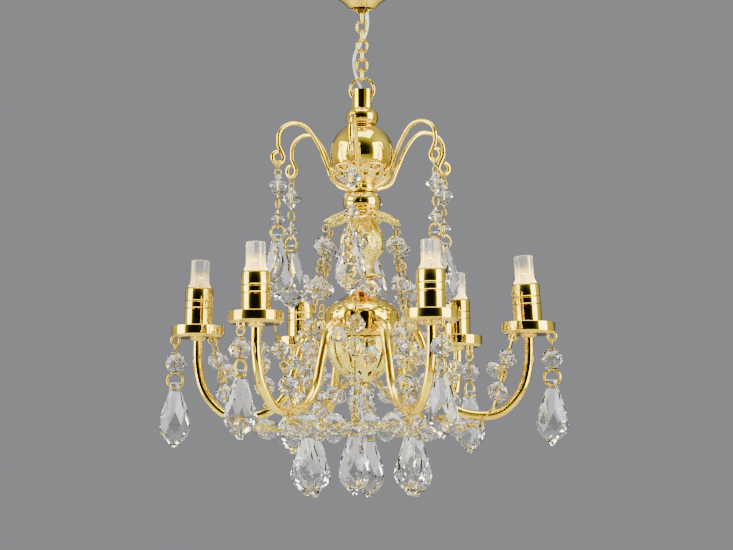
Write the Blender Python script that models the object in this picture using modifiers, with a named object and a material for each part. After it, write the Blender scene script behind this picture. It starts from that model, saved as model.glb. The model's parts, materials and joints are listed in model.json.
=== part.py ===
"""A dolls-house chandelier: a gilt column on a short chain, six candle arms, six crooks and crystal strings.

Metres, +Z up. The origin is the centre of the flat face that meets the ceiling, and everything hangs below it.
Candle arms point at 0, 60, 120... degrees, and the crooks stand half way between them.
"""

import math

import bmesh
import bpy
from mathutils import Matrix, Vector

MM = 0.001

# Clearances
FIT_GAP = 0.1 * MM  # between pieces that seat on, or pass through, each other
LINK_GAP = 0.05 * MM  # between two wires that hook together
STRING_GAP = 0.25 * MM  # between a wired string and what its end loop hangs from

# Round counts
ROUND_STEPS = 20
SMALL_STEPS = 12

# Symmetry
ARM_COUNT = 6
ARM_STEP = math.tau / ARM_COUNT

# Ceiling rose
CANOPY_RADIUS = 10.0 * MM
CANOPY_DEPTH = 6.4 * MM
CANOPY_WALL = 0.45 * MM
CANOPY_MOUTH_RADIUS = 1.7 * MM
BASE_THICKNESS = 1.2 * MM
BASE_INSET = 0.6 * MM  # plate's edge in from the cover's rim wall
STAPLE_WIRE = 0.5 * MM
STAPLE_HALF_WIDTH = 0.85 * MM
STAPLE_DROP = 0.5 * MM

# Chain and jump ring
CHAIN_LINKS = 7
LINK_WIRE = 0.42 * MM
LINK_LENGTH = 2.56 * MM
LINK_WIDTH = 2.15 * MM
RING_WIRE = 0.5 * MM
RING_RADIUS = 2.05 * MM

# Stem
HEAD_RADIUS = 1.7 * MM
HEAD_BORE = 1.3 * MM
HEAD_LENGTH = 3.3 * MM
HEAD_FLOOR = 0.6 * MM
HEAD_RIM = 0.38 * MM  # metal left above the cross slots
SLOT_HALF_WIDTH = 0.55 * MM
STEM_RADIUS = 0.9 * MM
STEM_BORE = 0.5 * MM

# Beads on the stem, top to bottom
COLLAR_RADIUS = 2.75 * MM
COLLAR_HEIGHT = 2.9 * MM
BALL_RADIUS = 5.35 * MM
BALL_SEAT_RADIUS = 2.6 * MM
CUP_WALL = 0.4 * MM
CUP_RIM_FLARE = 0.35 * MM  # cup's rim out past the ball's widest
CUP_RIM_RISE = 2.6 * MM  # rim above the cup's floor
HUB_RADIUS = 2.6 * MM
HUB_HEIGHT = 1.4 * MM
VASE_RADIUS = 3.25 * MM
VASE_HEIGHT = 3.3 * MM
PETAL_TIP_RADIUS = 6.95 * MM
PETAL_VALLEY_RADIUS = 3.9 * MM
PETAL_HUB_RADIUS = 2.1 * MM  # flat middle of the petal cap
PETAL_DROOP = 2.05 * MM
PETAL_WALL = 0.4 * MM
PETAL_HOLE_RADIUS = 0.3 * MM
PETAL_HOLE_INSET = 0.85 * MM
BALUSTER_RADIUS = 3.8 * MM
BALUSTER_NECK = 1.9 * MM
BALUSTER_HEIGHT = 10.0 * MM
WASHER_RADIUS = 3.8 * MM
WASHER_THICKNESS = 0.45 * MM

# Bowl and basket
BOWL_RADIUS = 6.4 * MM
BOWL_NECK = 2.1 * MM
BOWL_HEIGHT = 10.1 * MM
BOWL_WALL = 0.6 * MM
PORT_RISE = 2.2 * MM  # arm ports above the bowl's lower edge
BASKET_RADIUS = 6.0 * MM
BASKET_HEIGHT = 7.5 * MM
BASKET_WALL = 0.45 * MM
BASKET_SLOTS = 12
BASKET_SLOT_WIDTH = 0.9 * MM
FINIAL_NUT_RADIUS = 1.3 * MM
FINIAL_NUT_HEIGHT = 0.6 * MM
FINIAL_RING_RADIUS = 0.75 * MM
FINIAL_WIRE = 0.6 * MM

# Crooks
CROOK_WIRE = 0.75 * MM
CROOK_REACH = 15.3 * MM  # column axis to the centre of the crook's end eye
CROOK_RISE = 10.4 * MM  # top of the crook above the hub's middle
CROOK_EYE_RISE = 4.1 * MM  # centre of the end eye above the hub's middle
CROOK_EYE_RADIUS = 0.75 * MM

# Candle arms
ARM_REACH = 28.1 * MM  # column axis to candle axis
ARM_ROOT = 5.0 * MM
ARM_DROP = 15.4 * MM
ARM_ROD = 1.6 * MM
PAN_RADIUS = 4.45 * MM
PAN_HEIGHT = 2.0 * MM
PAN_WALL = 0.6 * MM
PAN_FALL = 1.9 * MM  # pan's underside below the arm ports
PAN_EYE_INSET = 0.6 * MM  # pan's rim to the eye beneath it
PAN_EYE_RADIUS = 0.7 * MM
PAN_EYE_WIRE = 0.45 * MM
CANDLE_RADIUS = 2.38 * MM
CANDLE_BORE = 1.65 * MM
CANDLE_HEIGHT = 7.8 * MM
CANDLE_CHAMFER = 0.4 * MM
ARM_TIP_RISE = 2.6 * MM  # arm's end above the pan's underside
LED_RADIUS = 1.55 * MM
LED_FLANGE = 1.9 * MM
LED_HEIGHT = 4.7 * MM
LED_SHANK = 1.6 * MM

# Crystal strings
PIN_WIRE = 0.3 * MM
STRING_LOOP = 0.75 * MM
DROP_LENGTH = 11.0 * MM
DROP_WIDTH = 5.5 * MM
BICONE = 3.0 * MM
SMALL_BICONE = 2.0 * MM
PENDANT_BEAD = 3.8 * MM
GARLAND_BEAD = 3.4 * MM
SWAG_BEAD = 3.7 * MM
PAN_BEAD = 3.0 * MM
GARLAND_STANDOFF = 2.6 * MM  # garland's wire out from the bowl's side
WEB_NODE_RADIUS = 10.0 * MM
KNOT_RADIUS = 0.5 * MM
SWAG_SAG = 0.9 * MM

# Lamp lead
LEAD_DIAMETER = 0.8 * MM

# The arm's sweep, as shares of its reach past the bowl and of its drop
ARM_SWEEP = (
    (0.0, 0.0),
    (0.07, 0.0),
    (0.1, 0.0),
    (0.19, -0.1),
    (0.273, -0.455),
    (0.34, -0.745),
    (0.46, -0.93),
    (0.628, -1.0),
    (0.8, -0.96),
    (0.94, -0.74),
    (0.996, -0.45),
)

# The crook's rise, as shares of its reach and of its rise above the hub
CROOK_SWEEP = (
    (0.14, -0.02),
    (0.335, 0.09),
    (0.41, 0.3),
    (0.52, 0.66),
    (0.66, 0.935),
    (0.8, 1.0),
    (0.93, 0.93),
    (0.99, 0.8),
)

GILT = ((0.83, 0.58, 0.2), 0.14, 1.0)
CRYSTAL = ((0.9, 0.94, 0.97), 0.04, 0.0)
RESIN = ((0.95, 0.9, 0.78), 0.1, 0.0)
WHITE_PVC = ((0.9, 0.89, 0.86), 0.4, 0.0)

# Heights that follow from the sizes above
STAPLE_Z = -(CANOPY_DEPTH + STAPLE_DROP)
LINK_DROP = (LINK_LENGTH - LINK_WIRE) / 2
LINK_PITCH = LINK_LENGTH - 2 * LINK_WIRE - LINK_GAP
FIRST_LINK_Z = STAPLE_Z + (STAPLE_WIRE + LINK_WIRE) / 2 + LINK_GAP - LINK_DROP
LAST_LINK_Z = FIRST_LINK_Z - (CHAIN_LINKS - 1) * LINK_PITCH
RING_PIVOT_Z = LAST_LINK_Z - LINK_DROP
RING_Z = RING_PIVOT_Z + (LINK_WIRE + RING_WIRE) / 2 + LINK_GAP - RING_RADIUS
COLUMN_PIVOT_Z = RING_Z - RING_RADIUS
HEAD_TOP_Z = RING_Z
COLLAR_TOP_Z = HEAD_TOP_Z - HEAD_LENGTH
COLLAR_BOTTOM_Z = COLLAR_TOP_Z - COLLAR_HEIGHT
BALL_FLAT = math.sqrt(BALL_RADIUS**2 - BALL_SEAT_RADIUS**2)
BALL_Z = COLLAR_BOTTOM_Z - FIT_GAP - BALL_FLAT
CUP_FLOOR_Z = BALL_Z - BALL_FLAT - FIT_GAP
CUP_BOTTOM_Z = CUP_FLOOR_Z - CUP_WALL
HUB_TOP_Z = CUP_BOTTOM_Z - FIT_GAP
HUB_Z = HUB_TOP_Z - HUB_HEIGHT / 2
VASE_TOP_Z = HUB_TOP_Z - HUB_HEIGHT - FIT_GAP
PETAL_TOP_Z = VASE_TOP_Z - VASE_HEIGHT - FIT_GAP
BALUSTER_TOP_Z = PETAL_TOP_Z - PETAL_WALL - FIT_GAP
WASHER_TOP_Z = BALUSTER_TOP_Z - BALUSTER_HEIGHT - FIT_GAP
BOWL_TOP_Z = WASHER_TOP_Z - WASHER_THICKNESS - FIT_GAP
BOWL_BOTTOM_Z = BOWL_TOP_Z - BOWL_HEIGHT
PORT_Z = BOWL_BOTTOM_Z + PORT_RISE
BASKET_TOP_Z = BOWL_BOTTOM_Z - FIT_GAP
BASKET_BOTTOM_Z = BASKET_TOP_Z - BASKET_HEIGHT
FINIAL_TOP_Z = BASKET_BOTTOM_Z - FIT_GAP
CROOK_EYE_Z = HUB_Z + CROOK_EYE_RISE
PAN_BOTTOM_Z = PORT_Z - PAN_FALL
CANDLE_BOTTOM_Z = PAN_BOTTOM_Z + PAN_WALL + FIT_GAP
CANDLE_TOP_Z = CANDLE_BOTTOM_Z + CANDLE_HEIGHT
PAN_EYE_Z = PAN_BOTTOM_Z - PAN_EYE_RADIUS + 0.35 * MM
PAN_EYE_RADIAL = ARM_REACH + PAN_RADIUS - PAN_EYE_INSET
ARM_LOW_Z = PORT_Z - ARM_DROP - ARM_ROD / 2
TIE_RADIUS = ARM_ROOT + 0.628 * (ARM_REACH - ARM_ROOT)
TIE_Z = ARM_LOW_Z - KNOT_RADIUS - FIT_GAP
BEAD_BORE = STEM_RADIUS + FIT_GAP


def collection_of(name):
    """A new collection in the scene."""
    made = bpy.data.collections.new(name)
    bpy.context.scene.collection.children.link(made)
    return made


def clear_scene():
    """Removes whatever the scene holds."""
    for obj in list(bpy.data.objects):
        bpy.data.objects.remove(obj, do_unlink=True)


clear_scene()
PARTS = collection_of("miniature_chandelier")
CUTTERS = collection_of("chandelier_cutters")


def finish(obj, look):
    """Gives an object its own Principled material."""
    colour, roughness, metallic = look
    material = bpy.data.materials.new(obj.name)
    material.use_nodes = True
    shader = material.node_tree.nodes["Principled BSDF"]
    shader.inputs["Base Color"].default_value = (*colour, 1.0)
    shader.inputs["Roughness"].default_value = roughness
    shader.inputs["Metallic"].default_value = metallic
    material.diffuse_color = (*colour, 1.0)
    obj.active_material = material
    return obj


def as_helper(obj):
    """Moves an object to the cutters, where it is only a Boolean's operand."""
    for owner in list(obj.users_collection):
        owner.objects.unlink(obj)
    CUTTERS.objects.link(obj)
    obj.hide_render = True
    obj.display_type = "WIRE"
    return obj


def pivot(name, place, turn=0.0):
    """An empty on a joint's axis."""
    empty = bpy.data.objects.new(name, None)
    empty.empty_display_size = 2 * MM
    empty.location = place
    empty.rotation_euler.z = turn
    PARTS.objects.link(empty)
    return empty


def hang_on(obj, empty):
    """Parents an object that stands in world coordinates to an unturned pivot."""
    obj.parent = empty
    obj.matrix_parent_inverse = Matrix.Translation(-Vector(empty.location))
    return obj


def turned(name, profile, steps=ROUND_STEPS, closed=True):
    """Turns (radius, height) points about Z. The points run down the outer side first."""
    mesh = bpy.data.meshes.new(name)
    points = [(radius, 0.0, height) for radius, height in profile]
    edges = [(n, n + 1) for n in range(len(points) - 1)]
    if closed:
        edges.append((len(points) - 1, 0))
    mesh.from_pydata(points, edges, [])
    obj = bpy.data.objects.new(name, mesh)
    PARTS.objects.link(obj)
    screw = obj.modifiers.new("turn", "SCREW")
    screw.axis = "Z"
    screw.angle = math.tau
    screw.steps = steps
    screw.render_steps = steps
    screw.use_merge_vertices = True
    screw.merge_threshold = 1e-7
    screw.use_smooth_shade = True
    return obj


def smooth_path(points, share=4):
    """Points along a Catmull-Rom curve through the given ones, share to each span."""
    ends = [Vector(p) for p in points]
    ends = [2 * ends[0] - ends[1], *ends, 2 * ends[-1] - ends[-2]]
    found = []
    for n in range(1, len(ends) - 2):
        a, b, c, d = ends[n - 1 : n + 3]
        for k in range(share):
            t = k / share
            bend = 2 * a - 5 * b + 4 * c - d
            twist = 3 * b - a - 3 * c + d
            found.append(0.5 * (2 * b + (c - a) * t + bend * t**2 + twist * t**3))
    found.append(ends[-2])
    return found


def tube(name, points, diameter, radii=None, cyclic=False, sides=6):
    """A round wire along points. radii, where given, are each point's own radius."""
    curve = bpy.data.curves.new(name, "CURVE")
    curve.dimensions = "3D"
    curve.bevel_depth = diameter / 2
    curve.bevel_resolution = (sides - 4) // 2
    curve.use_fill_caps = not cyclic
    spline = curve.splines.new("POLY")
    spline.points.add(len(points) - 1)
    spline.use_cyclic_u = cyclic
    for n, place in enumerate(points):
        spline.points[n].co = (*place, 1.0)
        if radii:
            spline.points[n].radius = radii[n] / (diameter / 2)
    obj = bpy.data.objects.new(name, curve)
    PARTS.objects.link(obj)
    return obj


def as_mesh(obj):
    """The curve or modified object as a plain mesh, with its caps welded."""
    bpy.context.view_layer.update()
    graph = bpy.context.evaluated_depsgraph_get()
    mesh = bpy.data.meshes.new_from_object(obj.evaluated_get(graph))
    shape = bmesh.new()
    shape.from_mesh(mesh)
    bmesh.ops.remove_doubles(shape, verts=shape.verts, dist=1e-7)
    shape.to_mesh(mesh)
    shape.free()
    name = obj.name
    place = obj.matrix_world.copy()
    bpy.data.objects.remove(obj, do_unlink=True)
    made = bpy.data.objects.new(name, mesh)
    made.matrix_world = place
    PARTS.objects.link(made)
    return made


def combine(target, others, operation, label):
    """Adds a Boolean of target with a collection of helpers."""
    group = bpy.data.collections.new(f"{target.name}_{label}")
    CUTTERS.children.link(group)
    for other in others:
        as_helper(other)
        CUTTERS.objects.unlink(other)
        group.objects.link(other)
    modifier = target.modifiers.new(label, "BOOLEAN")
    modifier.operation = operation
    modifier.operand_type = "COLLECTION"
    modifier.collection = group
    modifier.solver = "EXACT"
    return target


def block(name, size, place, turn=0.0):
    """A box, for cutting."""
    bpy.ops.mesh.primitive_cube_add(size=1.0)
    obj = bpy.context.object
    obj.name = name
    obj.data.transform(Matrix.Diagonal((*size, 1.0)))
    obj.data.transform(Matrix.Rotation(turn, 4, "Z") @ Matrix.Translation(place))
    return obj


def rod(name, radius, length, transform, sides=12):
    """A cylinder along its own Z, moved by transform."""
    bpy.ops.mesh.primitive_cylinder_add(vertices=sides, radius=radius, depth=length)
    obj = bpy.context.object
    obj.name = name
    obj.data.transform(transform)
    return obj


def ring(name, radius, wire, transform, turns=16, sides=6):
    """A torus about its own Z, moved by transform."""
    bpy.ops.mesh.primitive_torus_add(
        major_segments=turns, minor_segments=sides, major_radius=radius, minor_radius=wire / 2
    )
    obj = bpy.context.object
    obj.name = name
    obj.data.transform(transform)
    for owner in list(obj.users_collection):
        owner.objects.unlink(obj)
    PARTS.objects.link(obj)
    obj.data.shade_smooth()
    return obj


def upright(place):
    """Stands a flat ring up in the XZ plane at place."""
    return Matrix.Translation(place) @ Matrix.Rotation(math.pi / 2, 4, "X")


def bead_profile(radius, height, top, bore, ends=0.45, points=7):
    """A rounded bead's section: from its top edge round the outside and back up its bore."""
    outer = []
    for n in range(points):
        turn = math.pi * n / (points - 1)
        bulge = ends + (1 - ends) * math.sin(turn)
        outer.append((radius * bulge, top - height * (1 - math.cos(turn)) / 2))
    return [*outer, (bore, top - height), (bore, top)]


# Ceiling rose


def canopy_base():
    """The mounting plate with the staple that carries the chain."""
    radius = CANOPY_RADIUS - CANOPY_WALL - BASE_INSET
    plate = rod("canopy_base", radius, BASE_THICKNESS, Matrix.Translation((0, 0, -BASE_THICKNESS / 2)), 24)
    for owner in list(plate.users_collection):
        owner.objects.unlink(plate)
    PARTS.objects.link(plate)
    side = STAPLE_HALF_WIDTH
    top = -BASE_THICKNESS / 2
    bend = STAPLE_Z + side
    path = [(side, 0, top), (side, 0, bend)]
    path += [
        (side * math.cos(a), 0, bend - side * math.sin(a))
        for a in (math.pi * n / 6 for n in range(1, 6))
    ]
    path += [(-side, 0, bend), (-side, 0, top)]
    staple = as_mesh(tube("staple", path, STAPLE_WIRE, sides=8))
    return finish(combine(plate, [staple], "UNION", "staple"), GILT)


def canopy_cover():
    """The dished cover, open in the middle for the chain and the lead."""
    outer = []
    inner = []
    for n in range(6):
        turn = math.pi / 2 * n / 5
        width = CANOPY_RADIUS - CANOPY_MOUTH_RADIUS
        radius = CANOPY_MOUTH_RADIUS + width * math.cos(turn)
        depth = CANOPY_DEPTH * (0.25 * n / 5 + 0.75 * math.sin(turn))
        outer.append((radius, -FIT_GAP - depth))
        shrink = CANOPY_WALL * math.cos(turn)
        inner.append((radius - shrink, -FIT_GAP - depth + CANOPY_WALL * math.sin(turn)))
    return finish(turned("canopy_cover", outer + inner[::-1], 24), GILT)


# Chain


def stadium(width, length, top, corners=4):
    """The centre line of a link in the XZ plane, its upper bend's centre line at top."""
    radius = width / 2
    straight = length - width
    path = []
    for sign, centre in ((1, top - radius), (-1, top - radius - straight)):
        for n in range(corners + 1):
            turn = math.pi * n / corners + (0 if sign > 0 else math.pi)
            path.append((radius * math.cos(turn), 0, centre + radius * math.sin(turn)))
    return path


def chain_link(number):
    """One oval link, hanging from the wire above it. Odd links stand side-on."""
    above = STAPLE_Z if number == 1 else FIRST_LINK_Z - (number - 2) * LINK_PITCH - LINK_DROP
    above_wire = STAPLE_WIRE if number == 1 else LINK_WIRE
    top = (above_wire + LINK_WIRE) / 2 + LINK_GAP
    path = stadium(LINK_WIDTH - LINK_WIRE, LINK_LENGTH - LINK_WIRE, top)
    link = tube(f"chain_link_{number}", path, LINK_WIRE, cyclic=True)
    link.parent = pivot(f"chain_pivot_{number}", (0, 0, above), math.pi / 2 if number % 2 else 0.0)
    return finish(link, GILT)


def jump_ring():
    """The round ring between the chain and the stem's head."""
    local = (0, 0, RING_Z - RING_PIVOT_Z)
    made = ring("jump_ring", RING_RADIUS, RING_WIRE, upright(local), turns=18)
    made.parent = pivot("ring_pivot", (0, 0, RING_PIVOT_Z))
    return finish(made, GILT)


# Column


def stem_tube():
    """The slotted head and the long thin tube that every bead threads on."""
    foot = BASKET_BOTTOM_Z + FIT_GAP
    floor = COLLAR_TOP_Z + HEAD_FLOOR
    profile = [
        (HEAD_RADIUS, HEAD_TOP_Z),
        (HEAD_RADIUS, COLLAR_TOP_Z + FIT_GAP),
        (STEM_RADIUS, COLLAR_TOP_Z + FIT_GAP),
        (STEM_RADIUS, foot),
        (STEM_BORE, foot),
        (STEM_BORE, floor),
        (HEAD_BORE, floor),
        (HEAD_BORE, HEAD_TOP_Z),
    ]
    stem = turned("stem_tube", profile)
    low = COLUMN_PIVOT_Z - RING_WIRE / 2 - FIT_GAP
    high = HEAD_TOP_Z - HEAD_RIM
    size = (HEAD_RADIUS * 2.5, SLOT_HALF_WIDTH * 2, high - low)
    slots = block("cross_slots", size, (0, 0, (low + high) / 2))
    return finish(combine(stem, [slots], "DIFFERENCE", "slots"), GILT)


def collar_bead():
    """The squat bead under the stem's head."""
    return finish(
        turned("collar_bead", bead_profile(COLLAR_RADIUS, COLLAR_HEIGHT, COLLAR_TOP_Z, BEAD_BORE, 0.62)), GILT
    )


def upper_ball():
    """The large ball, flat where the collar and the leaf cup meet it."""
    low = math.asin(BALL_SEAT_RADIUS / BALL_RADIUS)
    outer = []
    for n in range(9):
        turn = low + (math.pi - 2 * low) * n / 8
        outer.append((BALL_RADIUS * math.sin(turn), BALL_Z + BALL_RADIUS * math.cos(turn)))
    profile = [*outer, (BEAD_BORE, BALL_Z - BALL_FLAT), (BEAD_BORE, BALL_Z + BALL_FLAT)]
    return finish(turned("upper_ball", profile), GILT)


def leaf_cup():
    """The flared cup that the ball rests in."""
    inner_radius = BALL_RADIUS + FIT_GAP
    outer_radius = inner_radius + CUP_WALL
    low = math.acos(-(CUP_FLOOR_Z - BALL_Z) / inner_radius)
    rim_z = CUP_FLOOR_Z + CUP_RIM_RISE
    turns = [low + (math.radians(55) - low) * n / 3 for n in range(4)]
    outer = [(outer_radius * math.sin(a), BALL_Z - outer_radius * math.cos(a)) for a in reversed(turns)]
    inner = [(inner_radius * math.sin(a), BALL_Z - inner_radius * math.cos(a)) for a in turns]
    profile = [
        (BALL_RADIUS + CUP_RIM_FLARE, rim_z),
        *outer[:-1],
        (BALL_SEAT_RADIUS, CUP_BOTTOM_Z),
        (BEAD_BORE, CUP_BOTTOM_Z),
        (BEAD_BORE, CUP_FLOOR_Z),
        *inner,
        (BALL_RADIUS + CUP_RIM_FLARE - CUP_WALL, rim_z + CUP_WALL / 2),
    ]
    return finish(turned("leaf_cup", profile), GILT)


def crook_path():
    """A crook's centre line in the XZ plane, ending in an open eye."""
    past_cup = BALL_RADIUS + CUP_RIM_FLARE + CROOK_WIRE / 2 + FIT_GAP
    rise = []
    for share, lift in CROOK_SWEEP:
        out = share * CROOK_REACH
        if 0.2 < lift < 0.5:
            out = max(out, past_cup)
        rise.append((out, 0, HUB_Z + lift * CROOK_RISE))
    rise.append((CROOK_REACH - 0.15 * CROOK_EYE_RADIUS, 0, CROOK_EYE_Z + 2.6 * CROOK_EYE_RADIUS))
    path = smooth_path(rise, 2)
    first = math.radians(155)
    last = math.radians(425)
    for n in range(8):
        turn = first + (last - first) * n / 7
        path.append(
            Vector(
                (
                    CROOK_REACH + CROOK_EYE_RADIUS * math.cos(turn),
                    0,
                    CROOK_EYE_Z + CROOK_EYE_RADIUS * math.sin(turn),
                )
            )
        )
    return path


def crook_crown():
    """The hub with its six brazed crooks, each ending in an eye."""
    hub = turned("crook_crown", bead_profile(HUB_RADIUS, HUB_HEIGHT, HUB_TOP_Z, BEAD_BORE, 0.8, 5))
    crooks = []
    for n in range(ARM_COUNT):
        crook = as_mesh(tube(f"crook_{n + 1}", crook_path(), CROOK_WIRE))
        crook.data.transform(Matrix.Rotation((n + 0.5) * ARM_STEP, 4, "Z"))
        crooks.append(crook)
    return finish(combine(hub, crooks, "UNION", "crooks"), GILT)


def vase_bead():
    """The barrel bead under the crooks' hub."""
    profile = bead_profile(VASE_RADIUS, VASE_HEIGHT, VASE_TOP_Z, BEAD_BORE, 0.6)
    return finish(turned("vase_bead", profile), GILT)


def petal_depth(radius):
    """How far the petal cap's upper face lies below its middle at a radius."""
    out = max(0.0, (radius - PETAL_HUB_RADIUS) / (PETAL_TIP_RADIUS - PETAL_HUB_RADIUS))
    return PETAL_DROOP * out**1.6


def petal_outline():
    """The six-petalled outline, its tips at the crooks' bearings."""
    outline = []
    for n in range(36):
        turn = math.tau * n / 36
        petal = abs(math.sin(turn * ARM_COUNT / 2)) ** 0.8
        radius = PETAL_VALLEY_RADIUS + (PETAL_TIP_RADIUS - PETAL_VALLEY_RADIUS) * petal
        outline.append((radius * math.cos(turn), radius * math.sin(turn), 0))
    return outline


def petal_cap():
    """The cap of six drooping petals that the garlands hang from."""
    edge = PETAL_TIP_RADIUS * 1.08
    stations = [BEAD_BORE] + [PETAL_HUB_RADIUS + (edge - PETAL_HUB_RADIUS) * n / 3 for n in range(4)]
    upper = [(radius, PETAL_TOP_Z - petal_depth(radius)) for radius in stations]
    lower = [(radius, height - PETAL_WALL) for radius, height in upper]
    dish = turned("petal_cap", upper + lower[::-1])
    curve = bpy.data.curves.new("petal_outline", "CURVE")
    curve.dimensions = "2D"
    curve.fill_mode = "BOTH"
    curve.extrude = PETAL_DROOP + PETAL_WALL
    spline = curve.splines.new("POLY")
    outline = petal_outline()
    spline.points.add(len(outline) - 1)
    spline.use_cyclic_u = True
    for point, place in zip(spline.points, outline):
        point.co = (*place, 1.0)
    cookie = bpy.data.objects.new("petal_cookie", curve)
    PARTS.objects.link(cookie)
    cookie = as_mesh(cookie)
    cookie.data.transform(Matrix.Translation((0, 0, PETAL_TOP_Z - PETAL_DROOP / 2)))
    combine(dish, [cookie], "INTERSECT", "petals")
    holes = []
    for n in range(ARM_COUNT):
        place = Matrix.Rotation((n + 0.5) * ARM_STEP, 4, "Z")
        place = place @ Matrix.Translation((PETAL_TIP_RADIUS - PETAL_HOLE_INSET, 0, PETAL_TOP_Z - PETAL_DROOP))
        holes.append(rod(f"petal_hole_{n + 1}", PETAL_HOLE_RADIUS, PETAL_DROOP * 2, place, 8))
    return finish(combine(dish, holes, "DIFFERENCE", "holes"), GILT)


def baluster():
    """The pear-shaped bead with a waisted foot."""
    shape = ((0.45, 0.0), (0.62, 0.12), (0.86, 0.27), (1.0, 0.46), (0.93, 0.6), (0.7, 0.73))
    outer = [(BALUSTER_RADIUS * wide, BALUSTER_TOP_Z - BALUSTER_HEIGHT * down) for wide, down in shape]
    outer.append((BALUSTER_NECK, BALUSTER_TOP_Z - BALUSTER_HEIGHT * 0.86))
    foot = BALUSTER_TOP_Z - BALUSTER_HEIGHT
    outer.append((BALUSTER_NECK * 1.3, foot))
    return finish(turned("baluster", [*outer, (BEAD_BORE, foot), (BEAD_BORE, BALUSTER_TOP_Z)]), GILT)


def neck_washer():
    """The thin disc between the baluster and the bowl."""
    low = WASHER_TOP_Z - WASHER_THICKNESS
    edge = WASHER_RADIUS * 0.95
    profile = [
        (edge, WASHER_TOP_Z),
        (WASHER_RADIUS, (WASHER_TOP_Z + low) / 2),
        (edge, low),
        (BEAD_BORE, low),
        (BEAD_BORE, WASHER_TOP_Z),
    ]
    return finish(turned("neck_washer", profile), GILT)


def bowl():
    """The hollow bowl that the candle arms plug into."""
    top, low = BOWL_TOP_Z, BOWL_BOTTOM_Z
    side, wall = BOWL_RADIUS, BOWL_WALL
    profile = [
        (BOWL_NECK * 0.9, top),
        (BOWL_NECK, top - 0.12 * BOWL_HEIGHT),
        (BOWL_NECK * 1.1, top - 0.24 * BOWL_HEIGHT),
        (side * 0.53, top - 0.34 * BOWL_HEIGHT),
        (side * 0.81, top - 0.44 * BOWL_HEIGHT),
        (side * 0.96, top - 0.55 * BOWL_HEIGHT),
        (side, top - 0.66 * BOWL_HEIGHT),
        (side, low + 0.9 * MM),
        (side * 0.93, low),
        (side * 0.93 - wall, low),
        (side - wall, low + 0.9 * MM),
        (side - wall, top - 0.68 * BOWL_HEIGHT),
        (side * 0.78, top - 0.54 * BOWL_HEIGHT),
        (side * 0.5, top - 0.44 * BOWL_HEIGHT),
        (BEAD_BORE, top - 0.36 * BOWL_HEIGHT),
        (BEAD_BORE, top),
    ]
    shell = turned("bowl", profile)
    ports = []
    for n in range(ARM_COUNT):
        place = Matrix.Rotation(n * ARM_STEP, 4, "Z") @ Matrix.Translation((BOWL_RADIUS, 0, PORT_Z))
        place = place @ Matrix.Rotation(math.pi / 2, 4, "Y")
        ports.append(rod(f"port_{n + 1}", ARM_ROD / 2 + FIT_GAP, BOWL_WALL * 5, place))
    return finish(combine(shell, ports, "DIFFERENCE", "ports"), GILT)


def basket_side(share):
    """The basket's outer radius at a share of its height down from its rim."""
    return BASKET_RADIUS * math.cos(math.radians(75) * share**1.5)


def lattice_basket():
    """The slotted cup that closes the bowl from below."""
    shares = (0.0, 0.3, 0.6, 0.85, 1.0)
    outer = [(basket_side(s), BASKET_TOP_Z - s * BASKET_HEIGHT) for s in shares]
    inner = [
        (basket_side(s) - BASKET_WALL, BASKET_TOP_Z - s * (BASKET_HEIGHT - BASKET_WALL))
        for s in shares[:-1]
    ]
    floor = BASKET_BOTTOM_Z + BASKET_WALL
    profile = [*outer, (BEAD_BORE, BASKET_BOTTOM_Z), (BEAD_BORE, floor), *inner[::-1]]
    cup = turned("lattice_basket", profile)
    slots = []
    length = BASKET_RADIUS * 0.55
    for n in range(BASKET_SLOTS):
        size = (length, BASKET_SLOT_WIDTH, BASKET_HEIGHT * 0.5)
        place = (BASKET_RADIUS - length / 2 + BASKET_WALL, 0, BASKET_TOP_Z - BASKET_HEIGHT * 0.4)
        slots.append(block(f"slot_{n + 1}", size, place, (n + 0.5) * math.tau / BASKET_SLOTS))
    return finish(combine(cup, slots, "DIFFERENCE", "slots"), GILT)


def finial_eye():
    """The end nut with its ring, below the basket."""
    low = FINIAL_TOP_Z - FINIAL_NUT_HEIGHT
    profile = [(FINIAL_NUT_RADIUS, FINIAL_TOP_Z), (FINIAL_NUT_RADIUS * 0.8, low), (0, low)]
    nut = turned("finial_eye", [(0, FINIAL_TOP_Z), *profile], SMALL_STEPS, closed=False)
    centre = (0, 0, low - FINIAL_RING_RADIUS)
    loop = ring("finial_ring", FINIAL_RING_RADIUS, FINIAL_WIRE, upright(centre), turns=16, sides=8)
    return finish(combine(nut, [loop], "UNION", "ring"), GILT)


# Candle arms


def arm_path():
    """An arm's centre line in the XZ plane, from inside the bowl to inside its candle."""
    span = ARM_REACH - ARM_ROOT
    points = [(ARM_ROOT + out * span, 0, PORT_Z + down * ARM_DROP) for out, down in ARM_SWEEP]
    points.append((ARM_REACH, 0, PAN_BOTTOM_Z))
    points.append((ARM_REACH, 0, PAN_BOTTOM_Z + ARM_TIP_RISE))
    return smooth_path(points, 2)


def candle_arm(number, bearing):
    """One S-shaped rod."""
    arm = tube(f"arm_{number}", arm_path(), ARM_ROD)
    arm.rotation_euler.z = bearing
    return finish(arm, GILT)


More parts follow.
